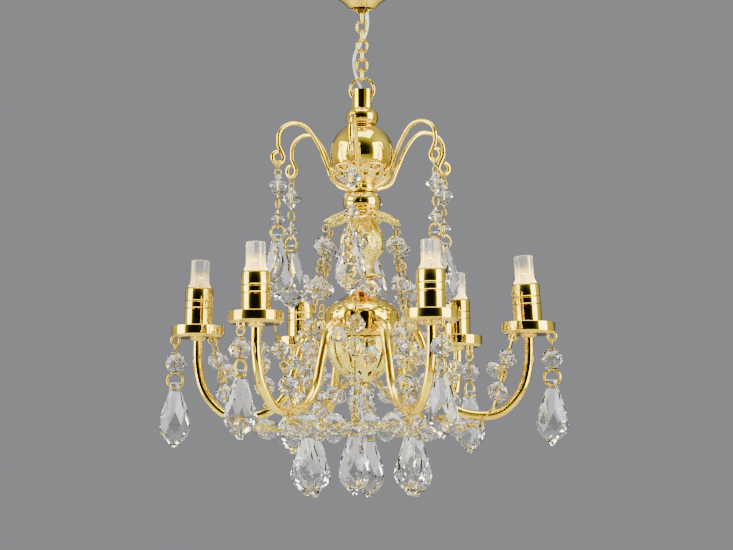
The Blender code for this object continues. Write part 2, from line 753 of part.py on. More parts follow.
def drip_pan(number, bearing):
    """One pan on its arm, with the eye beneath its outer edge."""
    high = PAN_HEIGHT
    wall = PAN_WALL
    bore = ARM_ROD / 2 + FIT_GAP
    profile = [
        (PAN_RADIUS, high),
        (PAN_RADIUS, high * 0.2),
        (PAN_RADIUS * 0.9, 0),
        (bore, 0),
        (bore, wall),
        (PAN_RADIUS * 0.84, wall),
        (PAN_RADIUS * 0.88, high),
    ]
    pan = turned(f"drip_pan_{number}", profile, 16)
    local = (PAN_EYE_RADIAL - ARM_REACH, 0, PAN_EYE_Z - PAN_BOTTOM_Z)
    eye = ring(f"pan_eye_{number}", PAN_EYE_RADIUS, PAN_EYE_WIRE, upright(local), turns=10, sides=4)
    place = Matrix.Rotation(bearing, 4, "Z") @ Matrix.Translation((ARM_REACH, 0, PAN_BOTTOM_Z))
    eye.matrix_world = place
    pan.location = place.translation
    pan.rotation_euler.z = bearing
    return finish(combine(pan, [eye], "UNION", "eye"), GILT)


def candle_tube(number, bearing):
    """One candle tube standing in its pan."""
    edge = CANDLE_RADIUS - CANDLE_CHAMFER
    profile = [
        (edge, CANDLE_HEIGHT),
        (CANDLE_RADIUS, CANDLE_HEIGHT - CANDLE_CHAMFER),
        (CANDLE_RADIUS, 0),
        (CANDLE_BORE, 0),
        (CANDLE_BORE, CANDLE_HEIGHT),
    ]
    candle = turned(f"candle_tube_{number}", profile, SMALL_STEPS)
    candle.location = (ARM_REACH * math.cos(bearing), ARM_REACH * math.sin(bearing), CANDLE_BOTTOM_Z)
    return finish(candle, GILT)


def led_lamp(number, bearing):
    """One flat-topped lamp with its flange resting on the candle."""
    shank = min(LED_RADIUS, CANDLE_BORE - FIT_GAP)
    profile = [
        (0, LED_HEIGHT),
        (LED_RADIUS, LED_HEIGHT),
        (LED_RADIUS, 0.55 * MM),
        (LED_FLANGE, FIT_GAP),
        (shank, FIT_GAP),
        (shank, -LED_SHANK),
        (0, -LED_SHANK),
    ]
    lamp = turned(f"led_lamp_{number}", profile, SMALL_STEPS, closed=False)
    lamp.location = (ARM_REACH * math.cos(bearing), ARM_REACH * math.sin(bearing), CANDLE_TOP_Z)
    return finish(lamp, RESIN)


# Crystal strings


def bead(wire, width, length):
    """(distance along the string, radius) for a bead, from its upper end."""
    return [(0, wire), (0.5 * length, width / 2), (length, wire)]


def drop_stations():
    """(distance, radius) down a flat-topped pear drop."""
    shape = ((0.0, 0.3), (0.35, 0.52), (0.7, 1.0), (0.88, 0.78), (1.0, 0.12))
    return [(down * DROP_LENGTH, wide * DROP_WIDTH / 2) for down, wide in shape]


def hanging_string(name, hook_wire, hook_radius, pieces):
    """A string on a pivot at its own origin: a loop round the hook, then beads down to a drop.

    The origin is the centre of the eye that the loop rides in. pieces are (gap before, stations).
    """
    hook_low = -hook_radius
    loop_top = hook_low + (hook_wire + PIN_WIRE) / 2 + LINK_GAP
    centre = loop_top - STRING_LOOP
    points = []
    for n in range(8):
        turn = math.radians(-45 + 315 * n / 7)
        points.append((0, STRING_LOOP * math.cos(turn), centre + STRING_LOOP * math.sin(turn)))
    radii = [PIN_WIRE / 2] * len(points)
    height = centre - STRING_LOOP
    for space, stations in pieces:
        height -= space
        for down, radius in stations:
            points.append((0, 0, height - down))
            radii.append(radius)
        height -= stations[-1][0]
    return tube(name, points, PIN_WIRE, radii)


def crook_string(number, bearing):
    """Two bicones and a drop under one crook."""
    wire = PIN_WIRE / 2
    pieces = [
        (1.5 * MM, bead(wire, BICONE, BICONE * 0.85)),
        (3.6 * MM, bead(wire, SMALL_BICONE, SMALL_BICONE * 0.85)),
        (1.7 * MM, drop_stations()),
    ]
    string = hanging_string(f"crook_string_{number}", CROOK_WIRE, CROOK_EYE_RADIUS, pieces)
    place = (CROOK_REACH * math.cos(bearing), CROOK_REACH * math.sin(bearing), CROOK_EYE_Z)
    string.parent = pivot(f"crook_pivot_{number}", place, bearing)
    return finish(string, CRYSTAL)


def pan_pendant(number, bearing):
    """A bead and a drop under one pan's outer edge."""
    wire = PIN_WIRE / 2
    pieces = [
        (0.3 * MM, bead(wire, PENDANT_BEAD, PENDANT_BEAD * 0.85)),
        (1.6 * MM, drop_stations()),
    ]
    string = hanging_string(f"pan_pendant_{number}", PAN_EYE_WIRE, PAN_EYE_RADIUS, pieces)
    place = (PAN_EYE_RADIAL * math.cos(bearing), PAN_EYE_RADIAL * math.sin(bearing), PAN_EYE_Z)
    string.parent = pivot(f"pendant_pivot_{number}", place, bearing)
    return finish(string, CRYSTAL)


def at(radius, bearing, height, side=0.0):
    """A point at a radius and bearing, moved side to the left of that bearing."""
    return Vector(
        (
            radius * math.cos(bearing) - side * math.sin(bearing),
            radius * math.sin(bearing) + side * math.cos(bearing),
            height,
        )
    )


def strand(name, corners, beads, wire=PIN_WIRE):
    """A wired strand along straight runs between corners. beads are (share of the length, width)."""
    lengths = [(b - a).length for a, b in zip(corners, corners[1:])]
    total = sum(lengths)

    def place(distance):
        for a, b, length in zip(corners, corners[1:], lengths):
            if distance <= length:
                return a.lerp(b, distance / length)
            distance -= length
        return corners[-1]

    stations = {0.0: wire / 2, total: wire / 2}
    reached = 0.0
    for length in lengths[:-1]:
        reached += length
        stations[reached] = wire / 2
    for share, width in beads:
        first = share * total - width / 2
        stations = {d: r for d, r in stations.items() if not first < d < first + width}
        for down, radius in bead(wire / 2, width, width):
            stations[first + down] = radius
    order = sorted(stations)
    return as_mesh(tube(name, [place(d) for d in order], wire, [stations[d] for d in order], sides=4))


def web_node(n):
    """The knot under crook n that the garland, the swags and a drop share."""
    return at(WEB_NODE_RADIUS, (n + 0.5) * ARM_STEP, TIE_Z)


def garland(n):
    """From a petal's tip, past the bowl, to the knot under it."""
    bearing = (n + 0.5) * ARM_STEP
    top = at(PETAL_TIP_RADIUS - 0.4 * MM, bearing, PETAL_TOP_Z - PETAL_DROOP - PETAL_WALL - STRING_GAP)
    past = at(BOWL_RADIUS + GARLAND_STANDOFF, bearing, PORT_Z)
    beads = ((0.1, GARLAND_BEAD), (0.3, GARLAND_BEAD), (0.515, GARLAND_BEAD), (0.63, GARLAND_BEAD))
    return strand(f"garland_{n + 1}", [top, past, web_node(n)], beads)


def basket_string(n):
    """From the basket's underside out to a knot."""
    bearing = (n + 0.5) * ARM_STEP
    top = at(BASKET_RADIUS * 0.5, bearing, BASKET_BOTTOM_Z - STRING_GAP + 0.35 * MM)
    return strand(f"basket_string_{n + 1}", [top, web_node(n)], ((0.3, PAN_BEAD),))


def swag(n, side):
    """From a knot to the tie under the next arm, sagging a little."""
    arm = n + (side > 0)
    start, end = web_node(n), at(TIE_RADIUS, arm * ARM_STEP, TIE_Z)
    middle = (start + end) / 2 - Vector((0, 0, SWAG_SAG))
    name = f"swag_{n + 1}_{'left' if side > 0 else 'right'}"
    return strand(name, [start, middle, end], ((0.29, SWAG_BEAD), (0.69, SWAG_BEAD)))


def pan_string(n, side):
    """From a pan's inner edge down beside the arm to the tie under it."""
    bearing = n * ARM_STEP
    inner = ARM_REACH - PAN_RADIUS * 0.58
    top = at(inner, bearing, PAN_BOTTOM_Z - STRING_GAP, side * 1.7 * MM)
    beside = at(TIE_RADIUS + 2.6 * MM, bearing, ARM_LOW_Z + 1.6 * MM, side * 2.6 * MM)
    tie = at(TIE_RADIUS, bearing, TIE_Z)
    name = f"pan_string_{n + 1}_{'left' if side > 0 else 'right'}"
    return strand(name, [top, beside, tie], ((0.23, PAN_BEAD), (0.57, GARLAND_BEAD)))


def web_drop(n):
    """The large drop under a knot."""
    node = web_node(n)
    points = [node, node - Vector((0, 0, 0.9 * MM))]
    radii = [PIN_WIRE / 2, PIN_WIRE / 2]
    for down, radius in drop_stations():
        points.append(node - Vector((0, 0, 1.0 * MM + down)))
        radii.append(radius)
    return as_mesh(tube(f"web_drop_{n + 1}", points, PIN_WIRE, radii, sides=6))


def knot(name, place):
    """A small wire knot where strands meet."""
    bpy.ops.mesh.primitive_ico_sphere_add(subdivisions=1, radius=KNOT_RADIUS)
    obj = bpy.context.object
    obj.name = name
    obj.data.transform(Matrix.Translation(place))
    return obj


def crystal_web():
    """Garlands, swags, pan strings, basket strings and bottom drops, wired into one net."""
    strands = []
    for n in range(ARM_COUNT):
        strands.append(knot(f"node_knot_{n + 1}", web_node(n)))
        strands.append(knot(f"tie_knot_{n + 1}", at(TIE_RADIUS, n * ARM_STEP, TIE_Z)))
        strands += [garland(n), basket_string(n), web_drop(n)]
        strands += [swag(n, side) for side in (-1, 1)]
        strands += [pan_string(n, side) for side in (-1, 1)]
    first = strands.pop(0)
    web = bpy.data.objects.new("crystal_web", first.data)
    bpy.data.objects.remove(first)
    PARTS.objects.link(web)
    return finish(combine(web, strands, "UNION", "strands"), CRYSTAL)


def lamp_lead():
    """The twin lead from the stem's head, beside and behind the chain, up into the rose."""
    low = COLLAR_TOP_Z + HEAD_FLOOR + FIT_GAP
    run = HEAD_TOP_Z - STAPLE_Z
    route = [
        (-0.1 * MM, 0.8 * MM, low),
        (-0.15 * MM, 0.8 * MM, COLUMN_PIVOT_Z + 0.4 * MM),
        (-0.3 * MM, 0.75 * MM, HEAD_TOP_Z + 0.3 * MM),
        (-0.95 * MM, 0.85 * MM, RING_Z + RING_RADIUS),
        (-1.45 * MM, 0.75 * MM, STAPLE_Z + run * 0.68),
        (-1.35 * MM, 1.0 * MM, STAPLE_Z + run * 0.52),
        (-0.6 * MM, 1.6 * MM, STAPLE_Z + run * 0.38),
        (0.3 * MM, 1.75 * MM, STAPLE_Z + run * 0.25),
        (0.75 * MM, 1.2 * MM, STAPLE_Z + run * 0.12),
        (0.7 * MM, 0.8 * MM, STAPLE_Z + 0.2 * MM),
        (0.6 * MM, 0.95 * MM, STAPLE_Z + 2.4 * MM),
    ]
    return finish(tube("lamp_lead", smooth_path(route, 2), LEAD_DIAMETER), WHITE_PVC)


def build():
    """Makes every piece."""
    canopy_base()
    canopy_cover()
    for number in range(1, CHAIN_LINKS + 1):
        chain_link(number)
    jump_ring()
    lamp_lead()
    column = pivot("column_pivot", (0, 0, COLUMN_PIVOT_Z))
    pieces = [stem_tube(), collar_bead(), upper_ball(), leaf_cup(), crook_crown(), vase_bead()]
    pieces += [petal_cap(), baluster(), neck_washer(), bowl(), lattice_basket(), finial_eye()]
    for n in range(ARM_COUNT):
        bearing = n * ARM_STEP
        pieces += [candle_arm(n + 1, bearing), drip_pan(n + 1, bearing)]
        pieces += [candle_tube(n + 1, bearing), led_lamp(n + 1, bearing)]
        crook_string(n + 1, bearing + ARM_STEP / 2)
        pan_pendant(n + 1, bearing)
    pieces.append(crystal_web())
    for piece in pieces:
        hang_on(piece, column)


build()
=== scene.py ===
"""Looks for a dolls-house chandelier: gilt metal, wired crystal strings and six small lamps.

Metres, +Z up. The origin is on the ceiling, and the column hangs down the Z axis.
Light arms point at 0, 60, 120... degrees; crooks, petals and garlands stand half way between them.
"""

import json
import logging
import math
import random
from dataclasses import dataclass, field
from enum import Enum
from typing import Callable, Iterable, Sequence, Union

import bmesh
import bpy
from mathutils import Matrix, Vector

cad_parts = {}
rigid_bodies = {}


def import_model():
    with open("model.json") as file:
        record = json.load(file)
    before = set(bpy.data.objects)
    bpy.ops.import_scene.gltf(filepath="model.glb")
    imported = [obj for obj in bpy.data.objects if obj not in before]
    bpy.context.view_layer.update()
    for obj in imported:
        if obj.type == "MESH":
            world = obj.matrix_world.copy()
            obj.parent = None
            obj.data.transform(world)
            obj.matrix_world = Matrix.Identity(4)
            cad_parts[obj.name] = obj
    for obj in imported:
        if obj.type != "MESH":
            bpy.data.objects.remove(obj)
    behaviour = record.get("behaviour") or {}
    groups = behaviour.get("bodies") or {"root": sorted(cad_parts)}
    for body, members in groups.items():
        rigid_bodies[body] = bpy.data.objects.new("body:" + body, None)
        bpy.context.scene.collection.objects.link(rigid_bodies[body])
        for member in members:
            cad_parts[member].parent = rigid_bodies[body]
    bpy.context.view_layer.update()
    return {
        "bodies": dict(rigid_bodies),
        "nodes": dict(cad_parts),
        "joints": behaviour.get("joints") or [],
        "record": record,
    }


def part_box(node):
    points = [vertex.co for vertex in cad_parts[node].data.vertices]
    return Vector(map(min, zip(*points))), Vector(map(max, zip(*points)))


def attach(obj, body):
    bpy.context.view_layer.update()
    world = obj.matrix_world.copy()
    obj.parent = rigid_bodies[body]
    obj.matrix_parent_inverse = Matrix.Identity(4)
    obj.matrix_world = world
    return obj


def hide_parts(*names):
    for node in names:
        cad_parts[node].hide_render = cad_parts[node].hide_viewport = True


LOG = logging.getLogger("chandelier")
MM = 0.001
ARM_COUNT = 6
ARM_STEP = math.tau / ARM_COUNT
HALF_STEP = ARM_STEP / 2

Triple = tuple[float, float, float]
Profile = Sequence[tuple[float, float]]


class Slot(Enum):
    """The record's material slots."""

    GILT = "gilt"
    CANDLE = "candle_gilt"
    CRYSTAL = "crystal"
    LAMP = "lamp_resin"
    LEAD = "lead_pvc"


# ---------------------------------------------------------------- shader maths


class Val:
    """A number socket with the arithmetic operators, each of which adds one Math node."""

    def __init__(self, tree: bpy.types.NodeTree, socket: bpy.types.NodeSocket) -> None:
        """Wraps one output socket of a tree."""
        self.tree = tree
        self.socket = socket

    def _math(self, operation: str, other: Union["Val", float], flip: bool = False) -> "Val":
        """Adds a Math node.

        Args:
            operation: the node's operation.
            other: the other operand, as a value or a number.
            flip: whether this value is the second operand.

        Returns:
            The node's result.
        """
        node = self.tree.nodes.new("ShaderNodeMath")
        node.operation = operation
        for place, operand in enumerate([other, self] if flip else [self, other]):
            if isinstance(operand, Val):
                self.tree.links.new(operand.socket, node.inputs[place])
            else:
                node.inputs[place].default_value = operand
        return Val(self.tree, node.outputs[0])

    def __add__(self, other: Union["Val", float]) -> "Val":
        """Sum."""
        return self._math("ADD", other)

    def __sub__(self, other: Union["Val", float]) -> "Val":
        """Difference."""
        return self._math("SUBTRACT", other)

    def __rsub__(self, other: float) -> "Val":
        """Difference, with a number first."""
        return self._math("SUBTRACT", other, flip=True)

    def __mul__(self, other: Union["Val", float]) -> "Val":
        """Product."""
        return self._math("MULTIPLY", other)

    def __truediv__(self, other: Union["Val", float]) -> "Val":
        """Quotient."""
        return self._math("DIVIDE", other)

    __radd__ = __add__
    __rmul__ = __mul__

    def smooth(self, low: float, high: float) -> "Val":
        """0 below low, 1 above high, with a soft turn between them."""
        node = self.tree.nodes.new("ShaderNodeMapRange")
        node.interpolation_type = "SMOOTHSTEP"
        self.tree.links.new(self.socket, node.inputs["Value"])
        node.inputs["From Min"].default_value = low
        node.inputs["From Max"].default_value = high
        return Val(self.tree, node.outputs["Result"])


class Shade:
    """One material being wired: it adds nodes and feeds the Principled shader."""

    def __init__(self, name: str) -> None:
        """Makes an empty node material with its Principled shader."""
        self.material = bpy.data.materials.new(name)
        self.material.use_nodes = True
        self.tree = self.material.node_tree
        self.shader = self.tree.nodes["Principled BSDF"]
        self.place = self.add("ShaderNodeTexCoord").outputs["Object"]

    def add(self, kind: str, **sockets: object) -> bpy.types.Node:
        """Adds a node.

        Args:
            kind: the node's type.
            sockets: values or links for its inputs, with underscores for spaces.

        Returns:
            The new node.
        """
        node = self.tree.nodes.new(kind)
        for key, value in sockets.items():
            self.feed(node.inputs[key.replace("_", " ")], value)
        return node

    def feed(self, target: bpy.types.NodeSocket, value: object) -> None:
        """Sets or links one socket.

        Args:
            target: the input to set.
            value: a Val, an output socket, a number or a colour.
        """
        if isinstance(value, Val):
            self.tree.links.new(value.socket, target)
        elif isinstance(value, bpy.types.NodeSocket):
            self.tree.links.new(value, target)
        elif isinstance(value, tuple) and len(value) == 3 and target.type == "RGBA":
            target.default_value = (*value, 1.0)
        else:
            target.default_value = value

    def wire(self, **sockets: object) -> None:
        """Feeds the Principled shader's own sockets, with underscores for spaces."""
        for key, value in sockets.items():
            self.feed(self.shader.inputs[key.replace("_", " ")], value)

    def noise(self, scale: float, detail: float = 3.0, stretch: Triple = (1.0, 1.0, 1.0)) -> Val:
        """A noise value on object coordinates.

        Args:
            scale: cycles in a metre.
            detail: octaves.
            stretch: the pattern's own scale along X, Y and Z.

        Returns:
            The noise, about 0.5.
        """
        spread = self.add("ShaderNodeMapping", Vector=self.place, Scale=stretch)
        node = self.add("ShaderNodeTexNoise", Vector=spread.outputs[0], Scale=scale, Detail=detail)
        return Val(self.tree, node.outputs["Fac"])

    def cells(self, scale: float) -> Val:
        """A cell value: the distance to the nearest of scattered points."""
        node = self.add("ShaderNodeTexVoronoi", Vector=self.place, Scale=scale)
        return Val(self.tree, node.outputs["Distance"])

    def height(self) -> Val:
        """The point's own height in the row frame, in metres."""
        node = self.add("ShaderNodeSeparateXYZ", Vector=self.place)
        return Val(self.tree, node.outputs["Z"])

    def mix(
        self, share: Val, first: Union[Triple, bpy.types.NodeSocket], second: Triple
    ) -> bpy.types.NodeSocket:
        """Blends two colours.

        Args:
            share: 0 for the first colour, 1 for the second.
            first: a colour or a colour output.
            second: a colour.

        Returns:
            The blended colour.
        """
        node = self.tree.nodes.new("ShaderNodeMix")
        node.data_type = "RGBA"
        self.feed(node.inputs["Factor"], share)
        colours = [s for s in node.inputs if s.type == "RGBA"]
        self.feed(colours[0], first)
        self.feed(colours[1], second)
        return [s for s in node.outputs if s.type == "RGBA"][0]

    def ramp(self, share: Val, stops: Sequence[tuple[float, Triple]]) -> bpy.types.NodeSocket:
        """A colour ramp.

        Args:
            share: the value that runs along the ramp.
            stops: positions and colours, in order.

        Returns:
            The ramp's colour.
        """
        node = self.tree.nodes.new("ShaderNodeValToRGB")
        bar = node.color_ramp
        while len(bar.elements) < len(stops):
            bar.elements.new(0.5)
        for element, (position, colour) in zip(bar.elements, stops):
            element.position = position
            element.color = (*colour, 1.0)
        self.feed(node.inputs["Fac"], share)
        return node.outputs["Color"]

    def bump(self, height: Val, depth: float, strength: float = 1.0) -> None:
        """Raises the surface by a height value, depth metres for a step of one."""
        node = self.add("ShaderNodeBump", Height=height, Distance=depth, Strength=strength)
        self.feed(self.shader.inputs["Normal"], node.outputs["Normal"])


# ---------------------------------------------------------------- bench tools


def clear_selection() -> None:
    """Leaves edit mode and deselects every object."""
    if bpy.context.object and bpy.context.object.mode != "OBJECT":
        bpy.ops.object.mode_set(mode="OBJECT")
    bpy.ops.object.select_all(action="DESELECT")


def pick(obj: bpy.types.Object) -> bpy.types.Object:
    """Makes one object the only selected and active one."""
    clear_selection()
    obj.select_set(True)
    bpy.context.view_layer.objects.active = obj
    return obj


def edit(obj: bpy.types.Object, mode: str = "VERT") -> None:
    """Opens one object in edit mode with everything selected."""
    pick(obj)
    bpy.ops.object.mode_set(mode="EDIT")
    bpy.ops.mesh.select_mode(type=mode)
    bpy.ops.mesh.select_all(action="SELECT")


def close(obj: bpy.types.Object) -> bpy.types.Object:
    """Leaves edit mode."""
    bpy.ops.object.mode_set(mode="OBJECT")
    return obj


def weld(obj: bpy.types.Object, gap: float = 1e-6) -> bpy.types.Object:
    """Merges doubled vertices and points every face outwards."""
    edit(obj)
    bpy.ops.mesh.remove_doubles(threshold=gap)
    bpy.ops.mesh.select_all(action="SELECT")
    bpy.ops.mesh.normals_make_consistent(inside=False)
    return close(obj)


def smooth(obj: bpy.types.Object, angle: float = 35.0) -> bpy.types.Object:
    """Shades smooth except across edges sharper than angle, in degrees."""
    pick(obj)
    bpy.ops.object.shade_smooth_by_angle(angle=math.radians(angle))
    return obj


def spun(name: str, profile: Profile, steps: int = 64, closed: bool = True) -> bpy.types.Object:
    """Turns a section about Z, as on a lathe.

    Args:
        name: the new object's name.
        profile: (radius, height) points in metres, down the outer side first.
        steps: facets round the turn.
        closed: whether the last point joins the first.

    Returns:
        The turned object, welded and facing outwards.
    """
    clear_selection()
    radius, height = profile[0]
    bpy.ops.mesh.primitive_plane_add(size=MM, location=(0, 0, 0))
    obj = bpy.context.object
    obj.name = name
    bpy.ops.object.mode_set(mode="EDIT")
    bpy.ops.mesh.select_mode(type="VERT")
    bpy.ops.mesh.merge(type="CENTER")
    bpy.ops.transform.translate(value=(radius, 0, height))
    points = [*profile[1:], profile[0]] if closed else list(profile[1:])
    for wide, high in points:
        step = (wide - radius, 0, high - height)
        bpy.ops.mesh.extrude_vertices_move(TRANSFORM_OT_translate={"value": step})
        radius, height = wide, high
    bpy.ops.mesh.select_all(action="SELECT")
    bpy.ops.mesh.spin(steps=steps, angle=math.tau, center=(0, 0, 0), axis=(0, 0, 1))
    close(obj)
    return weld(obj)


def rounded(points: Profile, share: int = 4) -> list[tuple[float, float]]:
    """A section's points joined by a smooth curve, share steps to each span."""
    found = curve_through([(r, 0.0, z) for r, z in points], share)
    return [(max(0.0, p.x), p.z) for p in found]


def curve_through(points: Iterable[Sequence[float]], share: int = 4) -> list[Vector]:
    """Points along a smooth curve that passes through the given ones.

    Args:
        points: the places that it passes through.
        share: steps to each span.

    Returns:
        The curve's points.
    """
    ends = [Vector(p) for p in points]
    ends = [2 * ends[0] - ends[1], *ends, 2 * ends[-1] - ends[-2]]
    found = []
    for n in range(1, len(ends) - 2):
        a, b, c, d = ends[n - 1 : n + 3]
        for k in range(share):
            t = k / share
            bend = 2 * a - 5 * b + 4 * c - d
            twist = 3 * b - a - 3 * c + d
            found.append(0.5 * (2 * b + (c - a) * t + bend * t**2 + twist * t**3))
    found.append(ends[-2])
    return found


def swept(name: str, points: Sequence[Sequence[float]], closed: bool = False) -> bpy.types.Object:
    """A curve object that runs straight from point to point, ready for its section.

    Args:
        name: the new object's name.
        points: the centre line.
        closed: whether its ends join.

    Returns:
        The curve object.
    """
    clear_selection()
    bpy.ops.curve.primitive_nurbs_path_add(location=(0, 0, 0))
    obj = bpy.context.object
    obj.name = name
    line = obj.data
    line.splines.clear()
    spline = line.splines.new("POLY")
    spline.points.add(len(points) - 1)
    for point, place in zip(spline.points, points):
        point.co = (*place, 1.0)
    spline.use_cyclic_u = closed
    line.dimensions = "3D"
    line.twist_mode = "MINIMUM"
    line.use_fill_caps = not closed
    return obj


def meshed(curve: bpy.types.Object, angle: float) -> bpy.types.Object:
    """Turns a curve object into a welded mesh, smooth except across edges sharper than angle."""
    pick(curve)
    bpy.ops.object.convert(target="MESH")
    return smooth(weld(bpy.context.object, 1e-7), angle)


def wire(
    name: str, points: Sequence[Sequence[float]], diameter: float, closed: bool = False, detail: int = 3
) -> bpy.types.Object:
    """A round wire bent along points.

    Args:
        name: the new object's name.
        points: the wire's centre line.
        diameter: its thickness.
        closed: whether its ends join.
        detail: how finely its section is rounded.

    Returns:
        The wire as a mesh with closed, outward faces.
    """
    obj = swept(name, points, closed)
    obj.data.bevel_depth = diameter / 2
    obj.data.bevel_resolution = detail
    return meshed(obj, 50)


def hoop(
    radius: float, x: float, z: float, steps: int, start: float = 0.0, sweep: float = 360.0
) -> list[Vector]:
    """Points along a circle or an arc in the XZ plane.

    Args:
        radius: its radius.
        x: its middle's X.
        z: its middle's Z.
        steps: how many steps it is cut into.
        start: where it starts, in degrees.
        sweep: how far it runs, in degrees. A full turn doesn't repeat its first point.

    Returns:
        The points.
    """
    last = steps if sweep == 360.0 else steps + 1
    turns = [math.radians(start + sweep * n / steps) for n in range(last)]
    return [Vector((x + radius * math.cos(turn), 0, z + radius * math.sin(turn))) for turn in turns]


def joined(name: str, pieces: Sequence[bpy.types.Object]) -> bpy.types.Object:
    """Joins several meshes into one object."""
    clear_selection()
    for piece in pieces:
        piece.select_set(True)
    bpy.context.view_layer.objects.active = pieces[0]
    bpy.ops.object.join()
    made = bpy.context.object
    made.name = name
    made.data.name = name
    return made


def placed(obj: bpy.types.Object, place: Matrix) -> bpy.types.Object:
    """Moves a mesh to its place in its own vertices, so that the object stays at the origin."""
    obj.data.transform(place)
    obj.data.update()
    return obj


def copied(obj: bpy.types.Object, name: str, place: Matrix) -> bpy.types.Object:
    """A copy with its own mesh, moved to its place.

    Args:
        obj: the model to copy.
        name: the copy's name.
        place: where it goes from the model's place.

    Returns:
        The copy.
    """
    pick(obj)
    bpy.ops.object.duplicate(linked=False)
    made = bpy.context.object
    made.name = name
    made.data.name = name
    return placed(made, place)


def drop_model(obj: bpy.types.Object) -> None:
    """Removes a model that was only there to be copied."""
    bpy.data.objects.remove(obj, do_unlink=True)


def applied(obj: bpy.types.Object, kind: str, **settings: object) -> bpy.types.Object:
    """Adds one modifier and applies it.

    Args:
        obj: the object to change.
        kind: the modifier's type.
        settings: its own properties.

    Returns:
        The object.
    """
    pick(obj)
    modifier = obj.modifiers.new(kind.lower(), kind)
    for key, value in settings.items():
        setattr(modifier, key, value)
    bpy.ops.object.modifier_apply(modifier=modifier.name)
    return obj


def moulded(obj: bpy.types.Object, move: Callable[[Vector], Vector]) -> bpy.types.Object:
    """Presses a mesh into another shape, point by point."""
    for point in obj.data.vertices:
        point.co = move(point.co.copy())
    obj.data.update()
    return obj


def pierced(obj: bpy.types.Object, hole: Callable[[Vector], bool]) -> bpy.types.Object:
    """Cuts openwork: removes the faces whose middle lies in a hole."""
    edit(obj, "FACE")
    bpy.ops.mesh.select_all(action="DESELECT")
    shape = bmesh.from_edit_mesh(obj.data)
    for face in shape.faces:
        if hole(face.calc_center_median()):
            face.select_set(True)
    bmesh.update_edit_mesh(obj.data)
    bpy.ops.mesh.delete(type="FACE")
    return close(obj)


def filigree(
    sheet: bpy.types.Object,
    hole: Callable[[Vector], bool],
    press: Callable[[Vector], Vector],
    wall: float,
    offset: float,
) -> bpy.types.Object:
    """Pierces a spun sheet, presses it into shape and gives it a wall with soft edges.

    Args:
        sheet: the sheet.
        hole: says where it is open.
        press: where each of its points goes.
        wall: its thickness.
        offset: 1 to thicken it outwards, -1 inwards.

    Returns:
        The sheet.
    """
    moulded(pierced(sheet, hole), press)
    applied(sheet, "SOLIDIFY", thickness=wall, offset=offset, use_even_offset=False)
    return applied(weld(sheet), "SUBSURF", levels=1, render_levels=1)


def turn_z(angle: float) -> Matrix:
    """A turn about the column's axis."""
    return Matrix.Rotation(angle, 4, "Z")


def facing(way: Vector) -> Matrix:
    """A turn that points the Z axis along way."""
    return way.to_track_quat("Z", "Y").to_matrix().to_4x4()


def shift(x: float, y: float, z: float) -> Matrix:
    """A move."""
    return Matrix.Translation((x, y, z))


def at(radius: float, bearing: float, height: float, side: float = 0.0) -> Vector:
    """A point at a radius and bearing, moved side to the left of that bearing."""
    cos, sin = math.cos(bearing), math.sin(bearing)
    return Vector((radius * cos - side * sin, radius * sin + side * cos, height))


# ---------------------------------------------------------------- finishes


@dataclass(frozen=True)
class PolishedGilt:
    """Bright gold plate: soft waves in the polish, faint haze patches and hairline scuffs."""

    name: str = "polished_gilt"
    bright: Triple = (0.96, 0.73, 0.05)
    deep: Triple = (0.74, 0.49, 0.018)
    rough: float = 0.05
    wave: float = 0.02 * MM

    def material(self) -> bpy.types.Material:
        """Wires the plate."""
        look = Shade(self.name)
        cloud = look.noise(260.0, 3.0)
        haze = look.noise(900.0, 4.0)
        scuff = look.noise(2600.0, 2.0, (1.0, 1.0, 0.12))
        tone = look.mix(cloud.smooth(0.36, 0.66), self.bright, self.deep)
        tone = look.mix(haze.smooth(0.62, 0.8) * 0.35, tone, (1.0, 0.82, 0.15))
        look.wire(Base_Color=tone, Metallic=1.0)
        look.wire(Roughness=haze.smooth(0.45, 0.8) * 0.09 + scuff.smooth(0.6, 0.75) * 0.06 + self.rough)
        look.bump(look.noise(520.0, 2.0) + scuff * 0.04, self.wave, 0.35)
        return look.material


@dataclass(frozen=True)
class CastGilt:
    """Gold plate over a cast bead: grainy hollows, darker lows and burnished highs."""

    name: str = "cast_gilt"
    grain: float = 2300.0
    depth: float = 0.12 * MM

    def material(self) -> bpy.types.Material:
        """Wires the casting."""
        look = Shade(self.name)
        pits = look.cells(self.grain)
        crumb = look.noise(3800.0, 4.0)
        relief = pits * 0.6 + crumb * 0.55
        tone = look.ramp(
            relief, [(0.26, (0.48, 0.33, 0.02)), (0.48, (0.9, 0.68, 0.05)), (0.76, (0.98, 0.86, 0.2))]
        )
        look.wire(Base_Color=tone, Metallic=1.0)
        look.wire(Roughness=0.34 - relief.smooth(0.3, 0.8) * 0.18)
        look.bump(relief, self.depth, 0.75)
        return look.material


@dataclass(frozen=True)
class BrassWire:
    """Drawn brass wire, a little darker where it was bent and handled."""

    name: str = "brass_wire"

    def material(self) -> bpy.types.Material:
        """Wires the brass."""
        look = Shade(self.name)
        patch = look.noise(700.0, 3.0)
        drawn = look.noise(5200.0, 2.0, (1.0, 1.0, 0.3))
        tone = look.ramp(
            patch, [(0.3, (0.38, 0.26, 0.02)), (0.55, (0.7, 0.52, 0.045)), (0.8, (0.88, 0.71, 0.1))]
        )
        look.wire(Base_Color=tone, Metallic=1.0)
        look.wire(Roughness=0.2 + drawn.smooth(0.5, 0.8) * 0.14)
        look.bump(drawn, 0.01 * MM, 0.4)
        return look.material


